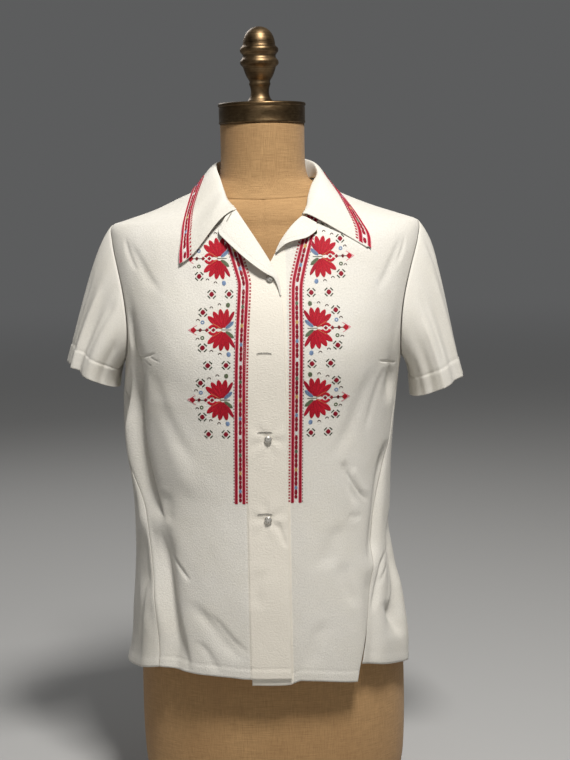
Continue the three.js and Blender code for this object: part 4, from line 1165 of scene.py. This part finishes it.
def border(work, length, phase, specks=True):
    """A border along the second chart direction, its chain on the line where the first is zero."""
    for off in (BORDER["inner"], BORDER["outer"]):
        for edge in (off - 1.9, off + 1.9):
            work.line([(edge, 0.5), (edge, length - 0.5)], 0.7, "pink", 2.2)
        for i in range(int(length / 0.62)):
            along = i * 0.62
            work.stitch((off - 1.5, along - 0.25), (off + 1.5, along + 0.25), 0.62, "crimson")
    for i in range(int(length / DOT_PITCH)):
        work.cross((BORDER["dots"], (i + 0.5) * DOT_PITCH), 2.1, "crimson")
        if specks:
            work.cross((BORDER["specks"], (i + 0.5) * DOT_PITCH), 1.2, "umber")
    for i in range(-int(phase / SPOT_PITCH) - 1, int((length - phase) / SPOT_PITCH) + 1):
        for along, tall, shade in (
            (0, 2.1, SPOTS[i % 4]), (5.9, 3.3, "berry"), (11.9, 2.3, "berry"), (17.8, 3.3, "berry"),
        ):
            at = phase + i * SPOT_PITCH + along
            if tall < at < length - tall:
                work.fill([
                    (-2, at), (-1.3, at + tall), (1.3, at + tall),
                    (2, at), (1.3, at - tall), (-1.3, at - tall),
                ], 0, shade)


# The middle of each chain, as heights and distances from the blouse's own middle.
RUNS = {
    RIGHT: [(430, -36), (560, -33), (640, -30), (705, -26), (715, -27), (765, -42), (780, -48)],
    LEFT: [(430, 35), (560, 38), (640, 40), (700, 41), (715, 43), (770, 57), (792, 63)],
}
# Flowers stand one step apart, and a pair of rosettes half a step under each, out from the border.
FLOWER_TOP, FLOWER_STEP, FLOWER_OUT, ROSETTES_OUT = 740, 88, 22, (18, 40)
WHITE_AT = {RIGHT: 610, LEFT: 613}


def on_border(side):
    """Chart of a front's border: out from its chain, and up from its lower end."""
    run = RUNS[side]

    def cloth(out, up, lift):
        z = run[0][0] + up
        x = read(run, 1, z)
        slope = (read(run, 1, z + 3) - read(run, 1, z - 3)) / 6
        lean = 1 / math.hypot(1, slope)
        return front_point(side, x + side * out * lean, z - side * out * slope * lean, lift)

    return cloth


embroidery = {}
for side, name in ((RIGHT, "right"), (LEFT, "left")):
    work = Needlework(on_border(side))
    border(work, RUNS[side][-1][0] - RUNS[side][0][0], WHITE_AT[side] - RUNS[side][0][0])
    work.cloth = lambda out, up, lift, side=side: front_point(side, side * out, up, lift)
    for z in (FLOWER_TOP - i * FLOWER_STEP for i in range(3)):
        work.flower((abs(read(RUNS[side], 1, z)) + FLOWER_OUT, z))
        low = z - FLOWER_STEP / 2
        for out in ROSETTES_OUT:
            work.rosette((abs(read(RUNS[side], 1, low)) + out, low))
    if side == LEFT:
        high = FLOWER_TOP + FLOWER_STEP / 2
        work.rosette((abs(read(RUNS[side], 1, high)) + ROSETTES_OUT[0], high))
    embroidery[side] = work.piece("border_embroidery_" + name)

edge_length = [0.0]
for i in range(400):
    step = collar_point(1, (i + 1) / 400) - collar_point(1, i / 400)
    edge_length.append(edge_length[-1] + step.length)
by_length = [(far, i / 400) for i, far in enumerate(edge_length)]


def on_collar(out, along, lift):
    """Chart of the collar: in from its edge, and along the edge from the right point."""
    along = min(edge_length[-1], max(0, along))
    i = min(399, max(0, next((k for k, far in enumerate(edge_length) if far > along), 400) - 1))
    (before, start), (after, end) = by_length[i], by_length[i + 1]
    t = mix(start, end, (along - before) / (after - before))
    fall = Vector([read(STATIONS, 7 + k, t * LAST) - read(STATIONS, 4 + k, t * LAST) for k in range(3)])
    s = 1 - (1 - STAND_SHARE) * (8.4 - out * 1.2) / fall.length
    return collar_point(s, t, lift + 0.25)


work = Needlework(on_collar)
border(work, edge_length[-1] - 1, 12, specks=False)
work.piece("collar_embroidery")


# ---------------------------------------------------------------- buttonholes and seam stitching
# Worked buttonholes, cut crosswise, with their lips held by close ivory stitches. The second from
# the top has no button in it. The facing is held by a line of fine running stitches.
BUTTONHOLES = [(-2, 622.5, 8.5, 0.8), (-3, 522, 8.5, 0.3), (-5, 416.5, 8.5, 0.3)]


def buttonhole(work, half, sag):
    """A buttonhole along the first chart direction, centred on zero."""
    count = int(half * 2 / 0.55)
    for i in range(count + 1):
        x = -half + i * 0.55
        low = sag * (x / half) ** 2
        for way in (1, -1):
            work.stitch((x, -low + way * 0.25), (x, -low + way * 1.25), 0.5, "ivory", 0.45)
    for end in (-half - 0.4, half + 0.4):
        for k in range(3):
            bar = end - 0.4 + k * 0.4
            work.stitch((bar, -sag - 1.2), (bar, -sag + 1.2), 0.42, "ivory", 0.5)
    slit = [(-half + 0.4 + i * (2 * half - 0.8) / 8) for i in range(9)]
    # The slit is painted shadow: a near-black line of stitches where the cut would show only shade.
    work.line([(x, -sag * (x / half) ** 2) for x in slit], 0.7, "shadow", 3)


for i, (x0, z0, half, sag) in enumerate(BUTTONHOLES):
    work = Needlework(lambda x, z, lift: front_point(RIGHT, x0 + x, z0 + z, lift))
    buttonhole(work, half, sag)
    work.piece("buttonhole_" + ["second", "third", "fourth"][i])


LAPEL_WIDE, LAPEL_TALL = 27, 112


def on_lapel(out, down, lift):
    """Chart of the right lapel: out from its roll, and down from its top edge."""
    share = ROLL_SHARE + (1 - ROLL_SHARE) * out / LAPEL_WIDE
    spot, _ = lapel_point(RIGHT, share, 1 - down / LAPEL_TALL, lift)
    return spot


work = Needlework(lambda x, y, lift: on_lapel(8 + x, 5.5 - y + x * 0.3, lift))
buttonhole(work, 4.4, 0)
work.piece("buttonhole_lapel")


def running(cloth, points, name, pitch=2.6):
    """Fine running stitches along a line, with a gap after every stitch."""
    work = Needlework(cloth)
    left = 0.0
    for a, b in zip(points, points[1:]):
        a, b = Vector(a), Vector(b)
        run = (b - a).length
        while left < run:
            start, end = a + (b - a) * left / run, a + (b - a) * min(1, (left + pitch * 0.62) / run)
            work.stitch(start, end, 0.42, "ivory", 0.2)
            left += pitch
        left -= run
    return work.piece(name)


def on_front(side):
    return lambda x, z, lift: front_point(side, x, z, lift)


running(on_front(RIGHT), [(-26.5, 200), (-26.5, 690)], "facing_stitches")


# ---------------------------------------------------------------- floor and light
# A plain pale floor that fades into an even backdrop far behind, under a window of light high at
# the front right and two weaker ones.
ROOM, ROOM_POWER = (0.86, 0.87, 0.88), 0.125
paper, tree = finish("pale floor", {"Roughness": 0.9, "Specular IOR Level": 0.1})
shade = cloudy(tree, place_of(tree), 0.6, 2)
feed(tree, colour=blend(tree, shade * 0.3, (0.47, 0.465, 0.455, 1), (0.43, 0.425, 0.415, 1)))
far = tree.nodes.new("ShaderNodeEmission")
far.inputs["Color"].default_value, far.inputs["Strength"].default_value = (*ROOM, 1), ROOM_POWER
reach = node(tree, "ShaderNodeVectorMath", {"operation": "LENGTH"}, (place_of(tree),), out=1)
fade = node(tree, "ShaderNodeMapRange", {"interpolation_type": "SMOOTHSTEP"}, {0: reach, 1: 1.2, 2: 9.0})
ground_mix = tree.nodes.new("ShaderNodeMixShader")
tree.links.new(fade.socket, ground_mix.inputs[0])
tree.links.new(tree.nodes["Principled BSDF"].outputs[0], ground_mix.inputs[1])
tree.links.new(far.outputs[0], ground_mix.inputs[2])
tree.links.new(ground_mix.outputs[0], tree.nodes["Material Output"].inputs["Surface"])
ground = bmesh.new()
bmesh.ops.create_grid(ground, x_segments=1, y_segments=1, size=40)
mesh = bpy.data.meshes.new("floor")
ground.to_mesh(mesh)
ground.free()
mesh.materials.append(paper)
floor = bpy.data.objects.new("floor", mesh)
bpy.context.collection.objects.link(floor)

world = bpy.data.worlds.new("soft room")
world.use_nodes = True
world.node_tree.nodes["Background"].inputs["Color"].default_value = (*ROOM, 1)
world.node_tree.nodes["Background"].inputs["Strength"].default_value = ROOM_POWER
bpy.context.scene.world = world


def window(name, at, aim, size, power, tint=(1, 1, 1)):
    lamp = bpy.data.lights.new(name, "AREA")
    lamp.shape, lamp.size, lamp.size_y = "RECTANGLE", size[0], size[1]
    lamp.energy, lamp.color = power, tint
    holder = bpy.data.objects.new(name, lamp)
    holder.location = at
    holder.rotation_mode = "QUATERNION"
    holder.rotation_quaternion = (Vector(aim) - Vector(at)).to_track_quat("-Z", "Y")
    bpy.context.collection.objects.link(holder)


window("key", (0.42, -1.3, 2.75), (0, 0, 0.62), (0.5, 0.5), 84, (1, 0.985, 0.96))
window("fill", (-0.6, -2.8, 0.7), (0, 0, 0.5), (1.6, 1.6), 4)
window("rim", (-0.9, 2.1, 2.1), (0, 0, 0.8), (1.0, 1.0), 12)


# ---------------------------------------------------------------- camera
# Level with the neck, looking a little down, turned a touch to one side.
lens = bpy.data.cameras.new("camera")
lens.sensor_width, lens.lens = 36, 70.96
camera = bpy.data.objects.new("camera", lens)
camera.matrix_world = (
    Matrix.Translation((0.0237, -2.0, 0.83))
    @ Matrix.Rotation(math.radians(82.6), 4, "X")
    @ Matrix.Rotation(math.radians(-1.1), 4, "Z")
)
bpy.context.collection.objects.link(camera)
bpy.context.scene.camera = camera
bpy.context.scene.view_settings.view_transform = "Standard"
